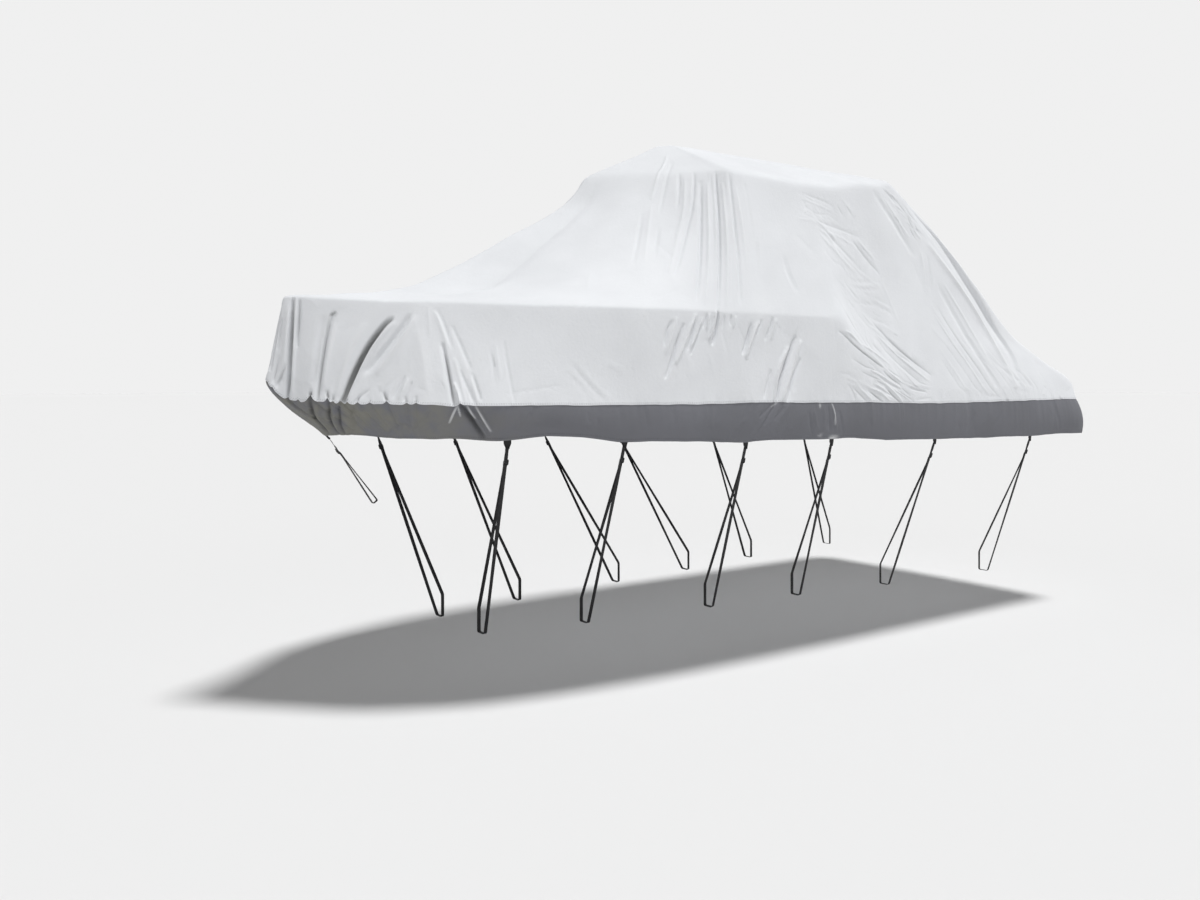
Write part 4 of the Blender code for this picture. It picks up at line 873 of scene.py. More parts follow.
def skirt_band_grid(cover, strength):
    """The band's outer face: from the hem up to the seam and on behind the top cloth's edge."""
    grid, rib, _, _ = cover
    surface = band_surface(grid, rib)
    count = np.abs(rib)
    fall = np.linalg.norm(surface(rib, np.ones_like(rib)) - surface(rib, np.zeros_like(rib)), axis=-1)
    shares = np.concatenate([HEM_ROWS, np.linspace(*BAND_ROWS), BAND_TOP_ROWS])
    band = surface(rib[:, None], shares[None, :])
    height, painted_shade, pale_marks = (np.zeros(band.shape[:-1]) for _ in range(3))

    def draw(mark, rise, half_width, lean, course, power=None):
        course = [(-r, t) for r, t in course]
        press(mark, band, rib, shares, surface, rise, half_width, lean, course, power)
    for rise, half_width, lean, *course in BAND_CREASES:
        draw(height, rise, half_width, lean, course)
    # Shade painted in the band's folds, and highlights painted as pale lines on its sharp folds
    for mark, rows in ((painted_shade, BAND_FOLD_SHADE), (pale_marks, PALE_LINES)):
        for amount, half_width, *course in rows:
            draw(mark, amount, half_width, 0, course, BAND_MARK_POWER)
    rng = np.random.default_rng(21)
    for _ in range(BAND_SLIGHT_CREASES):
        place = rng.uniform(-23.8, 23.8)
        low, tall = rng.uniform(0.0, 0.6), rng.uniform(0.15, 0.5)
        rise = rng.choice((-1, 1)) * rng.uniform(0.0008, 0.0024)
        drift = rng.normal(0, 0.12)
        course = ((-place, low), (-place - drift, min(low + tall, 0.97)))
        draw(height, rise, rng.uniform(0.008, 0.020), 0.0, course)
    run, length = round_the_boat(rib)
    bow = 1 - fade(3.5, 5.5, count)
    pucker = waves(BAND_PUCKERS, run, length, bow)
    height += pucker[:, None] * np.exp(-(1 - shares[None, :]) * fall[:, None] / BAND_PUCKER_REACH)
    height += waves(BAND_WAVES, run, length, bow)[:, None] * (1 - shares[None, :])
    height *= 1 - fade(0.93, 1.0, shares)[None, :]
    height *= strength
    doubled = HEM_LAYER * (1 - fade(*HEM_STEP, shares))
    band = band + grid_normals(band) * (height + doubled[None, :])[..., None]
    band[..., 2] += waves(HEM_WAVES, run, length, bow)[:, None] * (1 - shares[None, :]) ** 2
    low = grid[:, :LAP_BEHIND]
    behind = low - grid_normals(low) * (CLOTH + GAP)
    lap = [up_the_cloth(behind, LAP * k / LAP_ROWS) for k in range(1, LAP_ROWS + 1)]
    band[:, -1] = behind[:, 0]
    band = np.concatenate([band, np.stack(lap, 1)], 1)
    hidden = np.zeros((len(rib), LAP_ROWS))
    marks = {"crease": height, "painted_shade": painted_shade, "pale_marks": pale_marks}
    return band, rib, shares, {kind: np.concatenate([values, hidden], 1) for kind, values in marks.items()}


# ---- making meshes ---------------------------------------------------------------------------------------
def add(tree, kind, values=None, links=None, **settings):
    """Adds a node with its settings, its fixed values and its links."""
    node = tree.nodes.new(kind)
    for key, value in settings.items():
        setattr(node, key, value)
    for key, value in (values or {}).items():
        node.inputs[key].default_value = value
    for key, (source, output) in (links or {}).items():
        tree.links.new(source.outputs[output], node.inputs[key])
    return node


def new_piece(name, mesh, material):
    """A finished piece: its object at the origin, its place in its mesh, riding on the cover's one body."""
    mesh.materials.clear()
    mesh.materials.append(material)
    piece = bpy.data.objects.new(name, mesh)
    bpy.context.scene.collection.objects.link(piece)
    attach(piece, "root")
    return piece


def cloth_mesh(name, grid, marks, tip=None):
    """A closed grid as a mesh with its threads' directions in metres as UV and its marks as attributes."""
    columns, rows = grid.shape[:2]
    points = (grid - HOME).reshape(-1, 3)
    i = np.arange(columns)[:, None]
    j = np.arange(rows - 1)[None, :]
    here, there = i * rows + j, (i + 1) % columns * rows + j
    quads = np.stack([here, here + 1, there + 1, there], -1).reshape(-1, 4)
    ring = np.concatenate([grid, grid[:1]])
    across = np.linalg.norm(np.diff(ring, axis=0), axis=-1)
    climb = np.linalg.norm(np.diff(grid, axis=1), axis=-1)
    around = np.concatenate([np.zeros((1, rows)), np.cumsum(across, 0)])
    up = np.concatenate([np.zeros((columns, 1)), np.cumsum(climb, 1)], 1)
    up = np.concatenate([up, up[:1]])
    around = around - around[columns // 3][None, :]
    uv = np.stack([around, up], -1)
    corners = np.stack([uv[:-1, :-1], uv[:-1, 1:], uv[1:, 1:], uv[1:, :-1]], 2).reshape(-1, 2)
    faces = [tuple(q) for q in quads.tolist()]
    if tip is not None:
        points = np.concatenate([points, [np.array(tip) - HOME]])
        last = len(points) - 1
        fans = [(k * rows + rows - 1, last, (k + 1) % columns * rows + rows - 1) for k in range(columns)]
        faces += fans
        caps = np.stack([uv[:-1, -1], (uv[:-1, -1] + uv[1:, -1]) / 2 + (0, 0.05), uv[1:, -1]], 1)
        corners = np.concatenate([corners, caps.reshape(-1, 2)])
    mesh = bpy.data.meshes.new(name)
    mesh.from_pydata(points.tolist(), [], faces)
    layer = mesh.uv_layers.new(name="threads")
    layer.data.foreach_set("uv", corners.astype(np.float32).ravel())
    for kind, values in marks.items():
        values = values.reshape(-1)
        if tip is not None:
            values = np.append(values, 0.0)
        mark = mesh.attributes.new(kind, "FLOAT", "POINT")
        mark.data.foreach_set("value", values.astype(np.float32))
    mesh.update()
    return mesh


def worker_with(mesh):
    """An object that lives only while its modifiers are set up."""
    worker = bpy.data.objects.new("worker", mesh)
    bpy.context.scene.collection.objects.link(worker)
    return worker


def settled(worker):
    """The worker's mesh with its modifiers applied; the worker goes."""
    graph = bpy.context.evaluated_depsgraph_get()
    mesh = bpy.data.meshes.new_from_object(worker.evaluated_get(graph), preserve_all_data_layers=True,
                                           depsgraph=graph)
    bpy.data.objects.remove(worker)
    return mesh


def smooth_mesh(name, bm, angle=None):
    """The built mesh with its faces outwards and smooth, and its edges sharp past an angle in degrees."""
    bmesh.ops.recalc_face_normals(bm, faces=bm.faces)
    mesh = bpy.data.meshes.new(name)
    bm.to_mesh(mesh)
    bm.free()
    mesh.shade_smooth()
    if angle:
        mesh.set_sharp_from_angle(angle=math.radians(angle))
    return mesh


def thinned(mesh, triangles, thickness):
    """Fewer triangles where the cloth is calm, then its thickness inside the outer face."""
    worker = worker_with(mesh)
    count = sum(len(p.vertices) - 2 for p in mesh.polygons)
    if count > triangles:
        thin = worker.modifiers.new("thin", "DECIMATE")
        thin.ratio = triangles / count
    solid = worker.modifiers.new("cloth", "SOLIDIFY")
    solid.thickness = thickness
    solid.offset = -1.0
    solid.use_rim = True
    out = settled(worker)
    out.shade_smooth()
    out.set_sharp_from_angle(angle=math.radians(70))
    return out


# ---- finishes --------------------------------------------------------------------------------------------
WEAVE = 0.005                 # thread spacing of the cloth as drawn
WEBBING_WEAVE = ((0.0025, "DIAGONAL"), (0.0030, "X"))     # its chevrons and its ribs: spacing, direction


def finish(name, roughness, specular):
    """A material with its node tree, its Principled shader and its Object coordinates."""
    material = bpy.data.materials.new(name)
    material.use_nodes = True
    tree = material.node_tree
    shader = tree.nodes["Principled BSDF"]
    shader.inputs["Roughness"].default_value = roughness
    shader.inputs["Specular IOR Level"].default_value = specular
    return material, tree, shader, add(tree, "ShaderNodeTexCoord")


def shade(tree, shader, **outputs):
    """Links outputs to the shader: colour, roughness and normal, each as (node, output)."""
    sockets = {"colour": "Base Color", "roughness": "Roughness", "normal": "Normal"}
    for kind, (node, output) in outputs.items():
        tree.links.new(node.outputs[output], shader.inputs[sockets[kind]])


def woven_bump(tree, pitch, depth, strength, under):
    """A plain weave, its threads pitch metres apart both ways, as a bump on top of another."""
    uv = add(tree, "ShaderNodeUVMap", uv_map="threads")
    warp, weft = (add(tree, "ShaderNodeTexWave", {"Scale": math.pi / (10 * pitch), "Distortion": 0.0},
                      {"Vector": (uv, "UV")}, wave_type="BANDS", bands_direction=way) for way in "XY")
    weave = add(tree, "ShaderNodeMath", links={0: (warp, "Fac"), 1: (weft, "Fac")}, operation="MULTIPLY")
    return add(tree, "ShaderNodeBump", {"Strength": strength, "Distance": depth},
               {"Height": (weave, "Value"), "Normal": (under, "Normal")})


def coated_polyester(name, colour, pale_tone, dull, shade_colour, roughness, ridge_highlight, dust_and_reflection=None, pale_marks=None):
    """Woven polyester, dyed in the yarn and coated inside: matt, with a faint weave and soft uneven tone.

    A highlight is painted on its ridges and shade deep in its folds; a warm reflection, if given, is painted
    in blotches towards the bow, and pale lines, if given, are painted on sharp folds as a highlight.

    Threads are 0.5 mm apart; the weave is drawn 5 mm apart so that it shows at all at this size.
    """
    material, tree, shader, place = finish(name, roughness, 0.35)
    broad = add(tree, "ShaderNodeTexNoise", {"Scale": 2.2, "Detail": 4.0, "Roughness": 0.55},
                {"Vector": (place, "Object")})
    tone = add(tree, "ShaderNodeValToRGB", links={"Fac": (broad, "Fac")})
    tone.color_ramp.elements[0].position = 0.30
    tone.color_ramp.elements[1].position = 0.72
    tone.color_ramp.elements[0].color = (*dull, 1)
    tone.color_ramp.elements[1].color = (*colour, 1)
    # Painted highlight: the colour turns paler on the ridges of the creases
    mark = add(tree, "ShaderNodeAttribute", attribute_name="crease", attribute_type="GEOMETRY")
    ridge = add(tree, "ShaderNodeMapRange", {"From Min": 0.002, "From Max": 0.022, "To Max": ridge_highlight},
                {"Value": (mark, "Fac")})
    marked = add(tree, "ShaderNodeMix", {"B": (*pale_tone, 1)},
                 {"Factor": (ridge, "Result"), "A": (tone, "Color")}, data_type="RGBA")
    # A warm reflection of the ground, painted in blotches towards the bow
    if dust_and_reflection:
        at = add(tree, "ShaderNodeSeparateXYZ", links={"Vector": (place, "Object")})
        near = add(tree, "ShaderNodeMapRange", {"From Min": -1.7, "From Max": -2.6, "To Max": 0.9},
                   {"Value": (at, "X")})
        patchy = add(tree, "ShaderNodeTexNoise", {"Scale": 9.0, "Detail": 4.0},
                     {"Vector": (place, "Object")})
        blotch = add(tree, "ShaderNodeMapRange", {"From Min": 0.36, "From Max": 0.60},
                     {"Value": (patchy, "Fac")})
        share = add(tree, "ShaderNodeMath", links={0: (near, "Result"), 1: (blotch, "Result")},
                    operation="MULTIPLY")
        marked = add(tree, "ShaderNodeMix", {"B": (*dust_and_reflection, 1)},
                     {"Factor": (share, "Value"), "A": (marked, "Result")}, data_type="RGBA")
    # Highlights painted as pale lines along the band's sharp folds
    if pale_marks:
        pale_line_share = add(tree, "ShaderNodeAttribute", attribute_name="pale_marks", attribute_type="GEOMETRY")
        marked = add(tree, "ShaderNodeMix", {"B": (*pale_marks, 1)},
                     {"Factor": (pale_line_share, "Fac"), "A": (marked, "Result")}, data_type="RGBA")
    # Painted shade: deep in the folds the colour turns towards a dark grey
    painted_shade = add(tree, "ShaderNodeAttribute", attribute_name="painted_shade", attribute_type="GEOMETRY")
    deep = add(tree, "ShaderNodeMapRange", {"To Max": 0.85}, {"Value": (painted_shade, "Fac")})
    shaded = add(tree, "ShaderNodeMix", {"B": (*shade_colour, 1)},
                {"Factor": (deep, "Result"), "A": (marked, "Result")}, data_type="RGBA")
    fine = add(tree, "ShaderNodeTexNoise", {"Scale": 46.0, "Detail": 3.0, "Roughness": 0.6},
               {"Vector": (place, "Object")})
    matt = add(tree, "ShaderNodeMapRange", {"To Min": roughness - 0.07, "To Max": roughness + 0.07},
               {"Value": (fine, "Fac")})
    crinkle = add(tree, "ShaderNodeBump", {"Strength": 0.30, "Distance": 0.004}, {"Height": (fine, "Fac")})
    woven = woven_bump(tree, WEAVE, 0.0008, 0.35, crinkle)
    shade(tree, shader, colour=(shaded, "Result"), roughness=(matt, "Result"), normal=(woven, "Normal"))
    return material


def polypropylene_webbing(name, colour, pale_tone):
    """Black polypropylene webbing in a herringbone weave: matt, ribbed along its length, greyer where
    scuffed.

    Real ribs are 1.2 mm apart; the chevrons and ribs are drawn 2.5 and 3 mm apart so that they show.
    """
    material, tree, shader, place = finish(name, 0.62, 0.4)
    uv = add(tree, "ShaderNodeUVMap", uv_map="threads")
    chevron, ribs = (add(tree, "ShaderNodeTexWave", {"Scale": math.pi / (10 * pitch), "Distortion": 0.0},
                         {"Vector": (uv, "UV")}, wave_type="BANDS", bands_direction=way)
                     for pitch, way in WEBBING_WEAVE)
    both = add(tree, "ShaderNodeMath", links={0: (chevron, "Fac"), 1: (ribs, "Fac")}, operation="ADD")
    dust_and_reflection = add(tree, "ShaderNodeTexNoise", {"Scale": 30.0, "Detail": 4.0}, {"Vector": (place, "Object")})
    share = add(tree, "ShaderNodeMapRange", {"From Min": 0.45, "From Max": 0.8, "To Max": 0.5},
                {"Value": (dust_and_reflection, "Fac")})
    cover = add(tree, "ShaderNodeMix", {"A": (*colour, 1), "B": (*pale_tone, 1)},
                {"Factor": (share, "Result")}, data_type="RGBA")
    bump = add(tree, "ShaderNodeBump", {"Strength": 0.5, "Distance": 0.0006}, {"Height": (both, "Value")})
    shade(tree, shader, colour=(cover, "Result"), normal=(bump, "Normal"))
    return material


def moulded_acetal(name, colour, pale_tone):
    """Injection-moulded acetal: black, satin, with a fine spark-eroded grain and paler rubbed places."""
    material, tree, shader, place = finish(name, 0.38, 0.5)
    grain = add(tree, "ShaderNodeTexNoise", {"Scale": 900.0, "Detail": 2.0}, {"Vector": (place, "Object")})
    pale_marks = add(tree, "ShaderNodeTexNoise", {"Scale": 60.0, "Detail": 3.0}, {"Vector": (place, "Object")})
    share = add(tree, "ShaderNodeMapRange", {"From Min": 0.5, "From Max": 0.8, "To Max": 0.6},
                {"Value": (pale_marks, "Fac")})
    tint = add(tree, "ShaderNodeMix", {"A": (*colour, 1), "B": (*pale_tone, 1)},
               {"Factor": (share, "Result")}, data_type="RGBA")
    bump = add(tree, "ShaderNodeBump", {"Strength": 0.25, "Distance": 0.0002}, {"Height": (grain, "Fac")})
    shade(tree, shader, colour=(tint, "Result"), normal=(bump, "Normal"))
    return material


def polyester_thread(name, colour, dark):
    """Twisted bonded polyester thread: slightly shiny, darker between its plies."""
    material, tree, shader, place = finish(name, 0.5, 0.5)
    twist = add(tree, "ShaderNodeTexNoise", {"Scale": 300.0, "Detail": 1.0}, {"Vector": (place, "Object")})
    tint = add(tree, "ShaderNodeMix", {"A": (*dark, 1), "B": (*colour, 1)},
               {"Factor": (twist, "Fac")}, data_type="RGBA")
    bump = add(tree, "ShaderNodeBump", {"Strength": 0.4, "Distance": 0.0003}, {"Height": (twist, "Fac")})
    shade(tree, shader, colour=(tint, "Result"), normal=(bump, "Normal"))
    return material


# ---- tie-downs -------------------------------------------------------------------------------------------
TAB_WIDTH = 0.039             # width of a tab where it is sewn on,
FIRST_TAB_WIDTH = 0.044       # of the first tab on each side
TAB_WAIST = 0.019             # and where it is pinched together
TAB_GATHERED = 0.034          # how far it hangs below the hem, pinched
TAB_GRID = (12, 9)            # rows and columns of its mesh
TAB_PLEAT = 0.0045            # height of its pleats
TAB_LIFT = 0.004              # how far they stand out
TAB_LAYERS = 0.0034           # two layers of webbing
TAB_EDGE = 0.0009             # its softened edge
SLIDER_WIDTH = 0.036
SLIDER_HEIGHT = 0.040
SLIDER_BAR = 0.0028           # half the width of the slider's bars
SLIDER_CORNER = 0.006
SLIDER_SET = 0.0045           # from the strap's middle line out to the slider's
BAR_SIDES = 8
# The strap's way at its slider: distances below the tab, then (along the strap, outwards) from the slider's
# middle, first down through it and then with the end that comes back up
HEAD_START = (0.0, 0.020, 0.045, 0.070)
THROUGH_SLIDER = (
    (-0.026, 0.0), (-0.017, 0.0004), (-0.009, 0.0060), (0.0, 0.0102), (0.009, 0.0060), (0.017, 0.0004),
    (0.026, 0.0), (0.060, 0.0))
BACK_THROUGH_SLIDER = (
    (0.060, -LEGS_APART), (0.022, -LEGS_APART), (0.010, -0.0016), (0.0, 0.0010), (-0.0036, 0.0026),
    (-0.0042, 0.0052), (0.0, 0.0082), (0.0070, 0.0060))
NEAR_TAB = 0.084              # length below the tab over which the webbing is pinched and turned
STRAP_PINCH = 0.22            # how much narrower it is there
STRAP_TWIST = 0.42            # how far it turns there, and how far it sways further down, in radians
STRAP_SWAY = 0.10


def tie_downs():
    """Label, side (-1 port, 0 stem, 1 starboard) and beam of every tie-down."""
    rows = [("bow", 0, None)]
    for side, hand in ((-1, "port"), (1, "starboard")):
        rows += [(f"{hand}_{number}", side, beam) for number, beam in enumerate(STRAPS, 1)]
    return rows


def tab_frame(label, side):
    """Middle of the hem at a tab and the directions along it, outwards and up, read from the tab's solid."""
    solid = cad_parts["tab_" + label]
    points = np.array([v.co for v in solid.data.vertices])
    centre = (points.min(0) + points.max(0)) / 2
    _, axes = np.linalg.eigh(np.cov((points - centre).T))
    out, along, up = (Vector(axes[:, k]) for k in range(3))
    away = Vector((-1, 0, 0)) if side == 0 else Vector((0, side, 0))
    out = out if out.dot(away) > 0 else -out
    up = up if up.z > 0 else -up
    along = out.cross(up)
    middle = Vector(centre) - up * (TAB_INSIDE - TAB_SHOWN) / 2
    return middle, along, out, up


def route(corners):
    """A path through corner points with each inner corner turned on a short curve."""
    path = [corners[0]]
    for before, corner, after in zip(corners, corners[1:], corners[2:]):
        reach = min(CORNER, 0.45 * (before - corner).length, 0.45 * (after - corner).length)
        start = corner + (before - corner).normalized() * reach
        end = corner + (after - corner).normalized() * reach
        for k in range(5):
            t = k / 4
            path.append(start * (1 - t) ** 2 + corner * 2 * t * (1 - t) + end * t * t)
    return path + [corners[-1]]


def strap_route(label, side, beam):
    """Where a strap runs, from its tab down, round its beam or eye and back up to the buckle."""
    middle, along, out, up = tab_frame(label, side)
    top = middle - up * (TAB_SHOWN + STRAP_GAP)
    if side:
        _, station, half_beam, low = beam
        outer = Vector((station, side * half_beam, low)) - Vector(HOME)
        inner = outer - Vector((0, side * BEAM_WIDTH, 0))
        rise = Vector((0, 0, BEAM_HEIGHT))
        down = (outer - top).normalized()
        back = Vector((0, side, 0))
        turn = [outer, inner, inner + rise]
        across = Vector((1, 0, 0))
    else:
        far = Vector(BOW_STRAP_END) - Vector(HOME)
        down = (far - top).normalized()
        back = Vector((down.z, 0, -down.x))
        outer, inner = far + back * BOW_LOOP / 2, far - back * BOW_LOOP / 2
        turn = [outer, outer + down * BOW_LOOP / 2, inner + down * BOW_LOOP / 2, inner]
        across = along if along.y > 0 else -along
    across = (across - down * across.dot(down)).normalized()
    face = across.cross(down)
    face = face if face.dot(out) > 0 else -face
    buckle = top + down * BUCKLE_DROP
    return top, down, across, face, buckle, turn, (middle, along, out, up)


def finely(points, step):
    """The same path with extra points, none further apart than step."""
    out = [points[0]]
    for a, b in zip(points, points[1:]):
        count = max(1, int(math.ceil((b - a).length / step)))
        out += [a.lerp(b, k / count) for k in range(1, count + 1)]
    return out


def webbing_mesh(name, path, across, width, thick, narrow):
    """Flat webbing with softly rounded edges along a path, closed at both ends, with UV in metres."""
    bm = bmesh.new()
    layer = bm.loops.layers.uv.new("threads")
    rings, along = [], [0.0]
    last = len(path) - 1
    for i in range(1, len(path)):
        along.append(along[-1] + (path[i] - path[i - 1]).length)
    for i, point in enumerate(path):
        run = (path[min(i + 1, last)] - path[max(i - 1, 0)]).normalized()
        side = (across[i] - run * across[i].dot(run)).normalized()
        face = side.cross(run).normalized()
        half = width / 2 * narrow[i]
        soft = thick * 0.5
        section = ((half, 0), (half - soft, soft), (0.0, soft * 1.08), (soft - half, soft), (-half, 0),
                   (soft - half, -soft), (0.0, -soft * 1.08), (half - soft, -soft))
        rings.append([bm.verts.new(point + side * x + face * y) for x, y in section])
    places = (half, half - soft, 0.0, soft - half, -half, -half - soft, -half * 2, -half * 3, -half * 4)
    for i, (here, there) in enumerate(zip(rings, rings[1:])):
        for k in range(8):
            n = (k + 1) % 8
            face = bm.faces.new((here[k], here[n], there[n], there[k]))
            uv = ((places[k], along[i]), (places[k + 1], along[i]), (places[k + 1], along[i + 1]),
                  (places[k], along[i + 1]))
            for loop, value in zip(face.loops, uv):
                loop[layer].uv = value
    bm.faces.new(reversed(rings[0]))
    bm.faces.new(rings[-1])
    return smooth_mesh(name, bm, 60)


def swept_bar(bm, path, radius, flat, closed, across):
    """A moulded bar: an oval section of BAR_SIDES sides swept along a path."""
    rings = []
    count = len(path)
    for i, point in enumerate(path):
        before = path[(i - 1) % count] if closed or i else point
        after = path[(i + 1) % count] if closed or i < count - 1 else point
        run = (after - before).normalized()
        side = across.cross(run).normalized()
        rings.append([bm.verts.new(point + side * radius * math.cos(a) + across * flat * math.sin(a))
                      for a in (math.tau * (k + 0.5) / BAR_SIDES for k in range(BAR_SIDES))])
    pairs = list(zip(rings, rings[1:])) + ([(rings[-1], rings[0])] if closed else [])
    for here, there in pairs:
        for k in range(BAR_SIDES):
            n = (k + 1) % BAR_SIDES
            bm.faces.new((here[k], here[n], there[n], there[k]))
    if not closed:
        bm.faces.new(reversed(rings[0]))
        bm.faces.new(rings[-1])


def slider_mesh(name, centre, across, down, face):
    """A slider buckle: a rounded moulded frame with a middle bar."""
    bm = bmesh.new()
    half_width, half_height = SLIDER_WIDTH / 2 - SLIDER_BAR, SLIDER_HEIGHT / 2 - SLIDER_BAR
    path = []
    for sx, sy, start in ((1, 1, 0), (-1, 1, 90), (-1, -1, 180), (1, -1, 270)):
        for k in range(5):
            a = math.radians(start + 22.5 * k)
            x = sx * (half_width - SLIDER_CORNER) + SLIDER_CORNER * math.cos(a)
            y = sy * (half_height - SLIDER_CORNER) + SLIDER_CORNER * math.sin(a)
            path.append(centre + across * x + down * y)
    swept_bar(bm, path, SLIDER_BAR, 0.0030, True, face)
    ends = [centre - across * half_width, centre + across * half_width]
    swept_bar(bm, finely(ends, 0.010), SLIDER_BAR * 0.9, 0.0026, False, face)
    return smooth_mesh(name, bm)


def gathered_tab_mesh(name, middle, along, out, up, width):
    """The tab: folded webbing sewn flat behind the hem and pinched together below it."""
    bm = bmesh.new()
    layer = bm.loops.layers.uv.new("threads")
    rows, columns = TAB_GRID
    grid = []
    for i in range(rows):
        down = -TAB_INSIDE + (TAB_INSIDE + TAB_GATHERED) * i / (rows - 1)
        pinch = float(fade(0.0, TAB_GATHERED, down))
        across = width + (TAB_WAIST - width) * pinch
        line = []
        for k in range(columns):
            t = k / (columns - 1) * 2 - 1
            pleat = math.cos(t * math.pi * 2) * TAB_PLEAT * pinch
            lift = TAB_LIFT * pinch
            point = middle + along * (t * across / 2) - up * down + out * (pleat + lift)
            line.append(bm.verts.new(point))
        grid.append(line)
    for i in range(rows - 1):
        for k in range(columns - 1):
            face = bm.faces.new((grid[i][k], grid[i + 1][k], grid[i + 1][k + 1], grid[i][k + 1]))
            for loop, (a, b) in zip(face.loops, ((k, i), (k, i + 1), (k + 1, i + 1), (k + 1, i))):
                loop[layer].uv = (a * width / (columns - 1), b * (TAB_INSIDE + TAB_GATHERED) / (rows - 1))
    worker = worker_with(smooth_mesh(name, bm))
    solid = worker.modifiers.new("layers", "SOLIDIFY")
    solid.thickness = TAB_LAYERS
    solid.offset = 0.0
    round_off = worker.modifiers.new("edges", "BEVEL")
    round_off.width = TAB_EDGE
    round_off.segments = 2
    round_off.angle_limit = math.radians(60)
    made = settled(worker)
    made.shade_smooth()
    made.set_sharp_from_angle(angle=math.radians(50))
    return made


def strap_path(top, down, face, buckle, turn):
    """The webbing's middle line: down through the slider, round its beam and back through the slider."""
    head = [top + down * fall for fall in HEAD_START]
    head += [buckle + down * fall + face * out for fall, out in THROUGH_SLIDER]
    tail = [buckle + down * fall + face * out for fall, out in BACK_THROUGH_SLIDER]
    body = route([head[-1], *turn, tail[0]])
    return finely(head, 0.012)[:-1] + finely(body, 0.060)[:-1] + finely(tail, 0.012)


def strap_turns(path, length, across, down, twist, phase):
    """How the webbing is turned and how far it is pinched at each point of its path."""
    done, sides, narrow = 0.0, [], []
    for i, point in enumerate(path):
        done += (point - path[i - 1]).length if i else 0.0
        near = math.sin(math.pi * float(fade(0.0, NEAR_TAB, np.array(done))))
        sway = STRAP_SWAY * math.sin(done * 5.1 + phase)
        angle = STRAP_TWIST * near * twist + sway * float(fade(0.16, 0.5, np.array(done)))
        angle *= float(fade(0.0, 0.25, np.array(length - done)))
        sides.append(Matrix.Rotation(angle, 3, down) @ across)
        narrow.append(1 - STRAP_PINCH * near)
    return sides, narrow


# ---- stitching -------------------------------------------------------------------------------------------
# A real lockstitch is 4 mm long in 1 mm thread. It is drawn 9 mm long, 14 mm apart and 2 mm thick to show.
STITCH_SHARE = 0.66           # length of a stitch as a share of the pitch
SEAM_ROWS = (0.006, 0.013)    # how far above the cloth's edge the seam's two rows of stitches lie
HEM_STITCHING = 0.017         # and how far above the hem's edge its one row does


def stitching_tree():
    """Geometry nodes that lay a run of stitches along a line."""
    tree = bpy.data.node_groups.new("run of stitches", "GeometryNodeTree")
    for name, kind in (("Line", "NodeSocketGeometry"), ("Pitch", "NodeSocketFloat"),
                       ("Stitch Length", "NodeSocketFloat"), ("Thread Thickness", "NodeSocketFloat"),
                       ("Thread", "NodeSocketMaterial")):
        tree.interface.new_socket(name, in_out="INPUT", socket_type=kind)
    tree.interface.new_socket("Stitches", in_out="OUTPUT", socket_type="NodeSocketGeometry")
    given = add(tree, "NodeGroupInput")
    line = add(tree, "GeometryNodeMeshToCurve", links={"Mesh": (given, "Line")})
    even = add(tree, "GeometryNodeResampleCurve",
               links={"Curve": (line, "Curve"), "Length": (given, "Pitch")}, mode="LENGTH")
    tangent = add(tree, "GeometryNodeInputTangent")
    turn = add(tree, "FunctionNodeAlignRotationToVector", links={"Vector": (tangent, "Tangent")}, axis="X")
    half_length, half_thread = (
        add(tree, "ShaderNodeMath", {1: 0.5}, {0: (given, whole)}, operation="MULTIPLY")
        for whole in ("Stitch Length", "Thread Thickness"))
    size = add(tree, "ShaderNodeCombineXYZ", links={
        "X": (half_length, "Value"), "Y": (half_thread, "Value"), "Z": (half_thread, "Value")})
    uneven = add(tree, "FunctionNodeRandomValue", {2: 0.88, 3: 1.10, "Seed": 7}, data_type="FLOAT")
    scale = add(tree, "ShaderNodeVectorMath", links={0: (size, "Vector"), "Scale": (uneven, 1)},
                operation="SCALE")
    grain = add(tree, "GeometryNodeMeshUVSphere", {"Segments": 6, "Rings": 4, "Radius": 1.0})
    laid = add(tree, "GeometryNodeInstanceOnPoints", links={
        "Points": (even, "Curve"), "Instance": (grain, "Mesh"), "Rotation": (turn, "Rotation"),
        "Scale": (scale, "Vector")})
    real = add(tree, "GeometryNodeRealizeInstances", links={"Geometry": (laid, "Instances")})
    smooth = add(tree, "GeometryNodeSetShadeSmooth", links={"Geometry": (real, "Geometry")})
    thread = add(tree, "GeometryNodeSetMaterial", links={"Geometry": (smooth, "Geometry"),
                                                         "Material": (given, "Thread")})
    add(tree, "NodeGroupOutput", links={"Stitches": (thread, "Geometry")})
    return tree


def stitched(name, lines, tree, values):
    """Stitches along closed lines of points, as one plain mesh."""
    points, edges = [], []
    for line in lines:
        edges += [(len(points) + k, len(points) + (k + 1) % len(line)) for k in range(len(line))]
        points += line
    mesh = bpy.data.meshes.new(name)
    mesh.from_pydata(points, edges, [])
    worker = worker_with(mesh)
    sewing = worker.modifiers.new("sewing", "NODES")
    sewing.node_group = tree
    for item in tree.interface.items_tree:
        if item.item_type == "SOCKET" and item.in_out == "INPUT" and item.name in values:
            sewing[item.identifier] = values[item.name]
    made = settled(worker)
    if not len(made.polygons):
        raise RuntimeError("no stitches were made for " + name)
    return made


# ---- settings --------------------------------------------------------------------------------------------
def colour_setting(name, description, code):
    """A colour property whose default is an sRGB hex code."""
    return bpy.props.FloatVectorProperty(name=name, description=description, default=linear(code),
                                         min=0.0, max=1.0, size=3, subtype="COLOR")


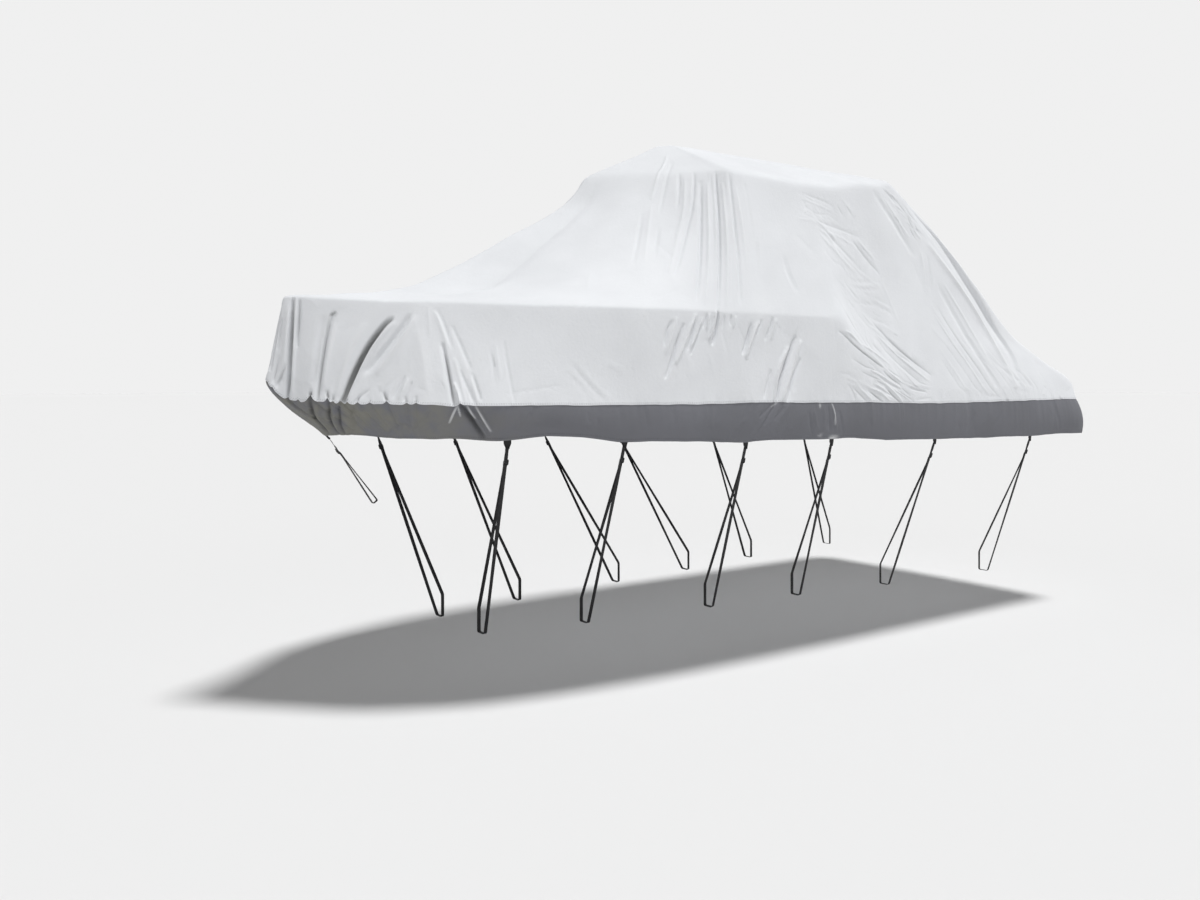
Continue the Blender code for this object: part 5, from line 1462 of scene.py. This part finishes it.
class BoatCoverCloth(bpy.types.PropertyGroup):
    thickness: bpy.props.FloatProperty(name="Cloth thickness", description="Thickness of the coated cloth",
                                       default=CLOTH, min=0.0005, max=0.004, unit="LENGTH", precision=4)
    creases: bpy.props.FloatProperty(name="Crease depth", description="Depth of all creases; 1 is as made",
                                     default=1.0, min=0.0, max=1.5, subtype="FACTOR")
    top_colour: colour_setting("Top cloth colour", "Colour of the light top cloth", "#E0E2E5")
    band_colour: colour_setting("Skirt band colour", "Colour of the dark skirt band", "#73747A")


class BoatCoverTieDowns(bpy.types.PropertyGroup):
    width: bpy.props.FloatProperty(name="Webbing width", description="Width of the strap webbing",
                                   default=0.025, min=0.015, max=0.040, unit="LENGTH")
    thickness: bpy.props.FloatProperty(name="Webbing thickness", description="Thickness of the webbing",
                                       default=0.002, min=0.001, max=0.003, unit="LENGTH", precision=4)
    webbing_colour: colour_setting("Webbing colour", "Colour of the tabs and straps", "#19191B")
    slider_colour: colour_setting("Slider colour", "Colour of the slider buckles", "#1B1B1D")


class BoatCoverSewing(bpy.types.PropertyGroup):
    pitch: bpy.props.FloatProperty(name="Stitch pitch", description="From one stitch to the next",
                                   default=0.014, min=0.004, max=0.03, unit="LENGTH", precision=4)
    thread: bpy.props.FloatProperty(name="Thread thickness", description="Thickness of the sewing thread",
                                    default=0.0022, min=0.0006, max=0.004, unit="LENGTH", precision=4)
    seam_colour: colour_setting("Seam thread colour", "Colour of the seam's thread", "#B4B6BA")
    hem_colour: colour_setting("Hem thread colour", "Colour of the hem's thread", "#54555A")


# ---- the pieces ------------------------------------------------------------------------------------------
MADE = {}


def cloth_grids():
    """The fine grids of both cloths, made once."""
    if "cover" not in MADE:
        strength = bpy.context.scene.boat_cover_cloth.creases
        MADE["cover"] = top_cloth_grid(strength)
        MADE["band"] = skirt_band_grid(MADE["cover"], strength)
    return MADE["cover"], MADE["band"]


class BOATCOVER_OT_top_cloth(bpy.types.Operator):
    """Make the draped top cloth"""
    bl_idname = "boat_cover.top_cloth"
    bl_label = "Top Cloth"

    def execute(self, context):
        settings = context.scene.boat_cover_cloth
        (grid, _, _, marks), _ = cloth_grids()
        mesh = thinned(cloth_mesh("top_cloth", grid, marks, PEAK), TOP_TRIANGLES, settings.thickness)
        # Painted: #E8E9EB highlight on ridges, #6E6F6E shade deep in folds
        cloth = coated_polyester("coated polyester, light grey", settings.top_colour, linear("#E8E9EB"),
                                 linear("#D9DBDE"), linear("#6E6F6E"), 0.78, 0.6)
        piece = new_piece("top_cloth", mesh, cloth)
        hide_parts("cover_top")
        return {"FINISHED"}


class BOATCOVER_OT_skirt_band(bpy.types.Operator):
    """Make the dark skirt band that hangs from the top cloth's seam"""
    bl_idname = "boat_cover.skirt_band"
    bl_label = "Skirt Band"

    def execute(self, context):
        settings = context.scene.boat_cover_cloth
        _, (grid, _, _, marks) = cloth_grids()
        mesh = thinned(cloth_mesh("skirt_band", grid, marks), BAND_TRIANGLES, settings.thickness)
        # Painted: #808084 highlight on ridges, #2B2B2C shade in folds, #7B7A72 warm bow reflection, #CDCED0
        # pale lines
        cloth = coated_polyester("coated polyester, dark grey", settings.band_colour, linear("#808084"),
                                 linear("#6C6D72"), linear("#2B2B2C"), 0.80, 0.4, linear("#7B7A72"),
                                 linear("#CDCED0"))
        piece = new_piece("skirt_band_cloth", mesh, cloth)
        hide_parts("skirt_band")
        return {"FINISHED"}


class BOATCOVER_OT_stitching(bpy.types.Operator):
    """Sew the seam and the hem"""
    bl_idname = "boat_cover.stitching"
    bl_label = "Stitching"

    def execute(self, context):
        settings = context.scene.boat_cover_sewing
        (grid, _, _, _), (band, _, _, _) = cloth_grids()
        thread = polyester_thread("bonded polyester thread, grey", settings.seam_colour, linear("#8E9096"))
        dark = polyester_thread("bonded polyester thread, dark grey", settings.hem_colour, linear("#3C3D41"))
        tree = stitching_tree()
        sizes = {"Pitch": settings.pitch, "Stitch Length": settings.pitch * STITCH_SHARE,
                 "Thread Thickness": settings.thread}
        seam = [(up_the_cloth(grid, away) - HOME).tolist() for away in SEAM_ROWS]
        mesh = stitched("seam_stitches", seam, tree, {**sizes, "Thread": thread})
        new_piece("seam_stitches", mesh, thread)
        hem = [(up_the_cloth(band, HEM_STITCHING) - HOME).tolist()]
        mesh = stitched("hem_stitches", hem, tree, {**sizes, "Thread": dark})
        new_piece("hem_stitches", mesh, dark)
        return {"FINISHED"}


class BOATCOVER_OT_tie_downs(bpy.types.Operator):
    """Make the tabs, the straps and their slider buckles"""
    bl_idname = "boat_cover.tie_downs"
    bl_label = "Tie-Downs"

    def execute(self, context):
        settings = context.scene.boat_cover_straps
        webbing = polypropylene_webbing("polypropylene webbing, black", settings.webbing_colour,
                                        linear("#2E2E31"))
        acetal = moulded_acetal("acetal, black", settings.slider_colour, linear("#303033"))
        for label, side, beam in tie_downs():
            top, down, across, face, buckle, turn, tab = strap_route(label, side, beam)
            mesh = gathered_tab_mesh("webbing_tab_" + label, *tab,
                                     FIRST_TAB_WIDTH if label.endswith("_1") else TAB_WIDTH)
            sewn = new_piece("webbing_tab_" + label, mesh, webbing)
            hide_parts("tab_" + label)
            mesh = slider_mesh("slider_" + label, buckle + face * SLIDER_SET, across, down, face)
            slider = new_piece("slider_" + label, mesh, acetal)
            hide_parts("buckle_" + label)
            path = strap_path(top, down, face, buckle, turn)
            length = sum((b - a).length for a, b in zip(path, path[1:]))
            sides, narrow = strap_turns(path, length, across, down, 1 if side <= 0 else -1,
                                        len(label) + (beam[0] if beam else 0))
            mesh = webbing_mesh("tie_strap_" + label, path, sides, settings.width, settings.thickness,
                                narrow)
            strap = new_piece("tie_strap_" + label, mesh, webbing)
            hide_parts("strap_" + label)
        return {"FINISHED"}


# ---- the stage -------------------------------------------------------------------------------------------
FLOOR_DROP = 0.279            # from the undersides of the trailer's beams down to the ground
FLOOR_REACH = 150.0
SKY = ((0.38, 0.87), (0.66, 0.10))    # the studio's grey by height: bright at the sides, dim overhead
KEY_STRENGTH = 2.95
KEY_SPREAD = 11               # apparent size of the key light in degrees
KEY_TRAVEL = (-0.19, 0.155, -0.965)   # the way its light travels
LENS = 30.75
LENS_SHIFT = -0.0583
CAMERA_PLACE = (-4.89, -5.96, -1.746)
CAMERA_TURN = -35.7           # degrees about the vertical; the camera looks level


class BOATCOVER_OT_stage(bpy.types.Operator):
    """Set the floor, the lights and the camera"""
    bl_idname = "boat_cover.stage"
    bl_label = "Stage"

    def execute(self, context):
        scene = context.scene
        scene.view_settings.view_transform = "Standard"
        mesh = bpy.data.meshes.new("floor")
        low = CAD_BOX[0].z - FLOOR_DROP
        reach = FLOOR_REACH
        corners = [(-reach, -reach, low), (reach, -reach, low), (reach, reach, low), (-reach, reach, low)]
        mesh.from_pydata(corners, [], [(0, 1, 2, 3)])
        floor = bpy.data.objects.new("floor", mesh)
        scene.collection.objects.link(floor)
        material = bpy.data.materials.new("studio floor, matt white")
        material.use_nodes = True
        shader = material.node_tree.nodes["Principled BSDF"]
        shader.inputs["Base Color"].default_value = (*linear("#DBDBDB"), 1)
        shader.inputs["Roughness"].default_value = 0.9
        mesh.materials.append(material)
        world = bpy.data.worlds.new("studio")
        world.use_nodes = True
        tree = world.node_tree
        place = add(tree, "ShaderNodeTexCoord")
        height = add(tree, "ShaderNodeSeparateXYZ", links={"Vector": (place, "Generated")})
        sky = add(tree, "ShaderNodeValToRGB", links={"Fac": (height, "Z")})
        for stop, (position, value) in zip(sky.color_ramp.elements, SKY):
            stop.color = (value, value, value, 1)
            stop.position = position
        tree.links.new(sky.outputs["Color"], tree.nodes["Background"].inputs["Color"])
        scene.world = world
        data = bpy.data.lights.new("key", "SUN")
        data.energy = KEY_STRENGTH
        data.angle = math.radians(KEY_SPREAD)
        light = bpy.data.objects.new("key", data)
        light.rotation_euler = Vector(KEY_TRAVEL).to_track_quat("-Z", "Y").to_euler()
        scene.collection.objects.link(light)
        data = bpy.data.cameras.new("camera")
        data.lens = LENS
        data.sensor_width = 36
        data.shift_y = LENS_SHIFT
        data.clip_end = 200
        camera = bpy.data.objects.new("camera", data)
        camera.location = CAMERA_PLACE
        camera.rotation_euler = (math.radians(90), 0, math.radians(CAMERA_TURN))
        scene.collection.objects.link(camera)
        scene.camera = camera
        return {"FINISHED"}


class BOATCOVER_PT_panel(bpy.types.Panel):
    """Steps and settings of the boat cover"""
    bl_label = "Boat Cover"
    bl_idname = "BOATCOVER_PT_panel"
    bl_space_type = "VIEW_3D"
    bl_region_type = "UI"
    bl_category = "Boat Cover"

    def draw(self, context):
        scene = context.scene
        for group in (scene.boat_cover_cloth, scene.boat_cover_straps, scene.boat_cover_sewing):
            for name in group.__annotations__:
                self.layout.prop(group, name)
        for step in STEPS:
            self.layout.operator(step.bl_idname)


STEPS = (BOATCOVER_OT_stage, BOATCOVER_OT_tie_downs, BOATCOVER_OT_top_cloth, BOATCOVER_OT_skirt_band,
         BOATCOVER_OT_stitching)
CLASSES = (BoatCoverCloth, BoatCoverTieDowns, BoatCoverSewing, *STEPS, BOATCOVER_PT_panel)


def register():
    for item in CLASSES:
        bpy.utils.register_class(item)
    bpy.types.Scene.boat_cover_cloth = bpy.props.PointerProperty(type=BoatCoverCloth)
    bpy.types.Scene.boat_cover_straps = bpy.props.PointerProperty(type=BoatCoverTieDowns)
    bpy.types.Scene.boat_cover_sewing = bpy.props.PointerProperty(type=BoatCoverSewing)


def unregister():
    del bpy.types.Scene.boat_cover_sewing
    del bpy.types.Scene.boat_cover_straps
    del bpy.types.Scene.boat_cover_cloth
    for item in reversed(CLASSES):
        bpy.utils.unregister_class(item)


def main():
    register()
    bpy.ops.boat_cover.stage()
    bpy.ops.boat_cover.tie_downs()
    bpy.ops.boat_cover.top_cloth()
    bpy.ops.boat_cover.skirt_band()
    bpy.ops.boat_cover.stitching()


if __name__ == "__main__":
    main()
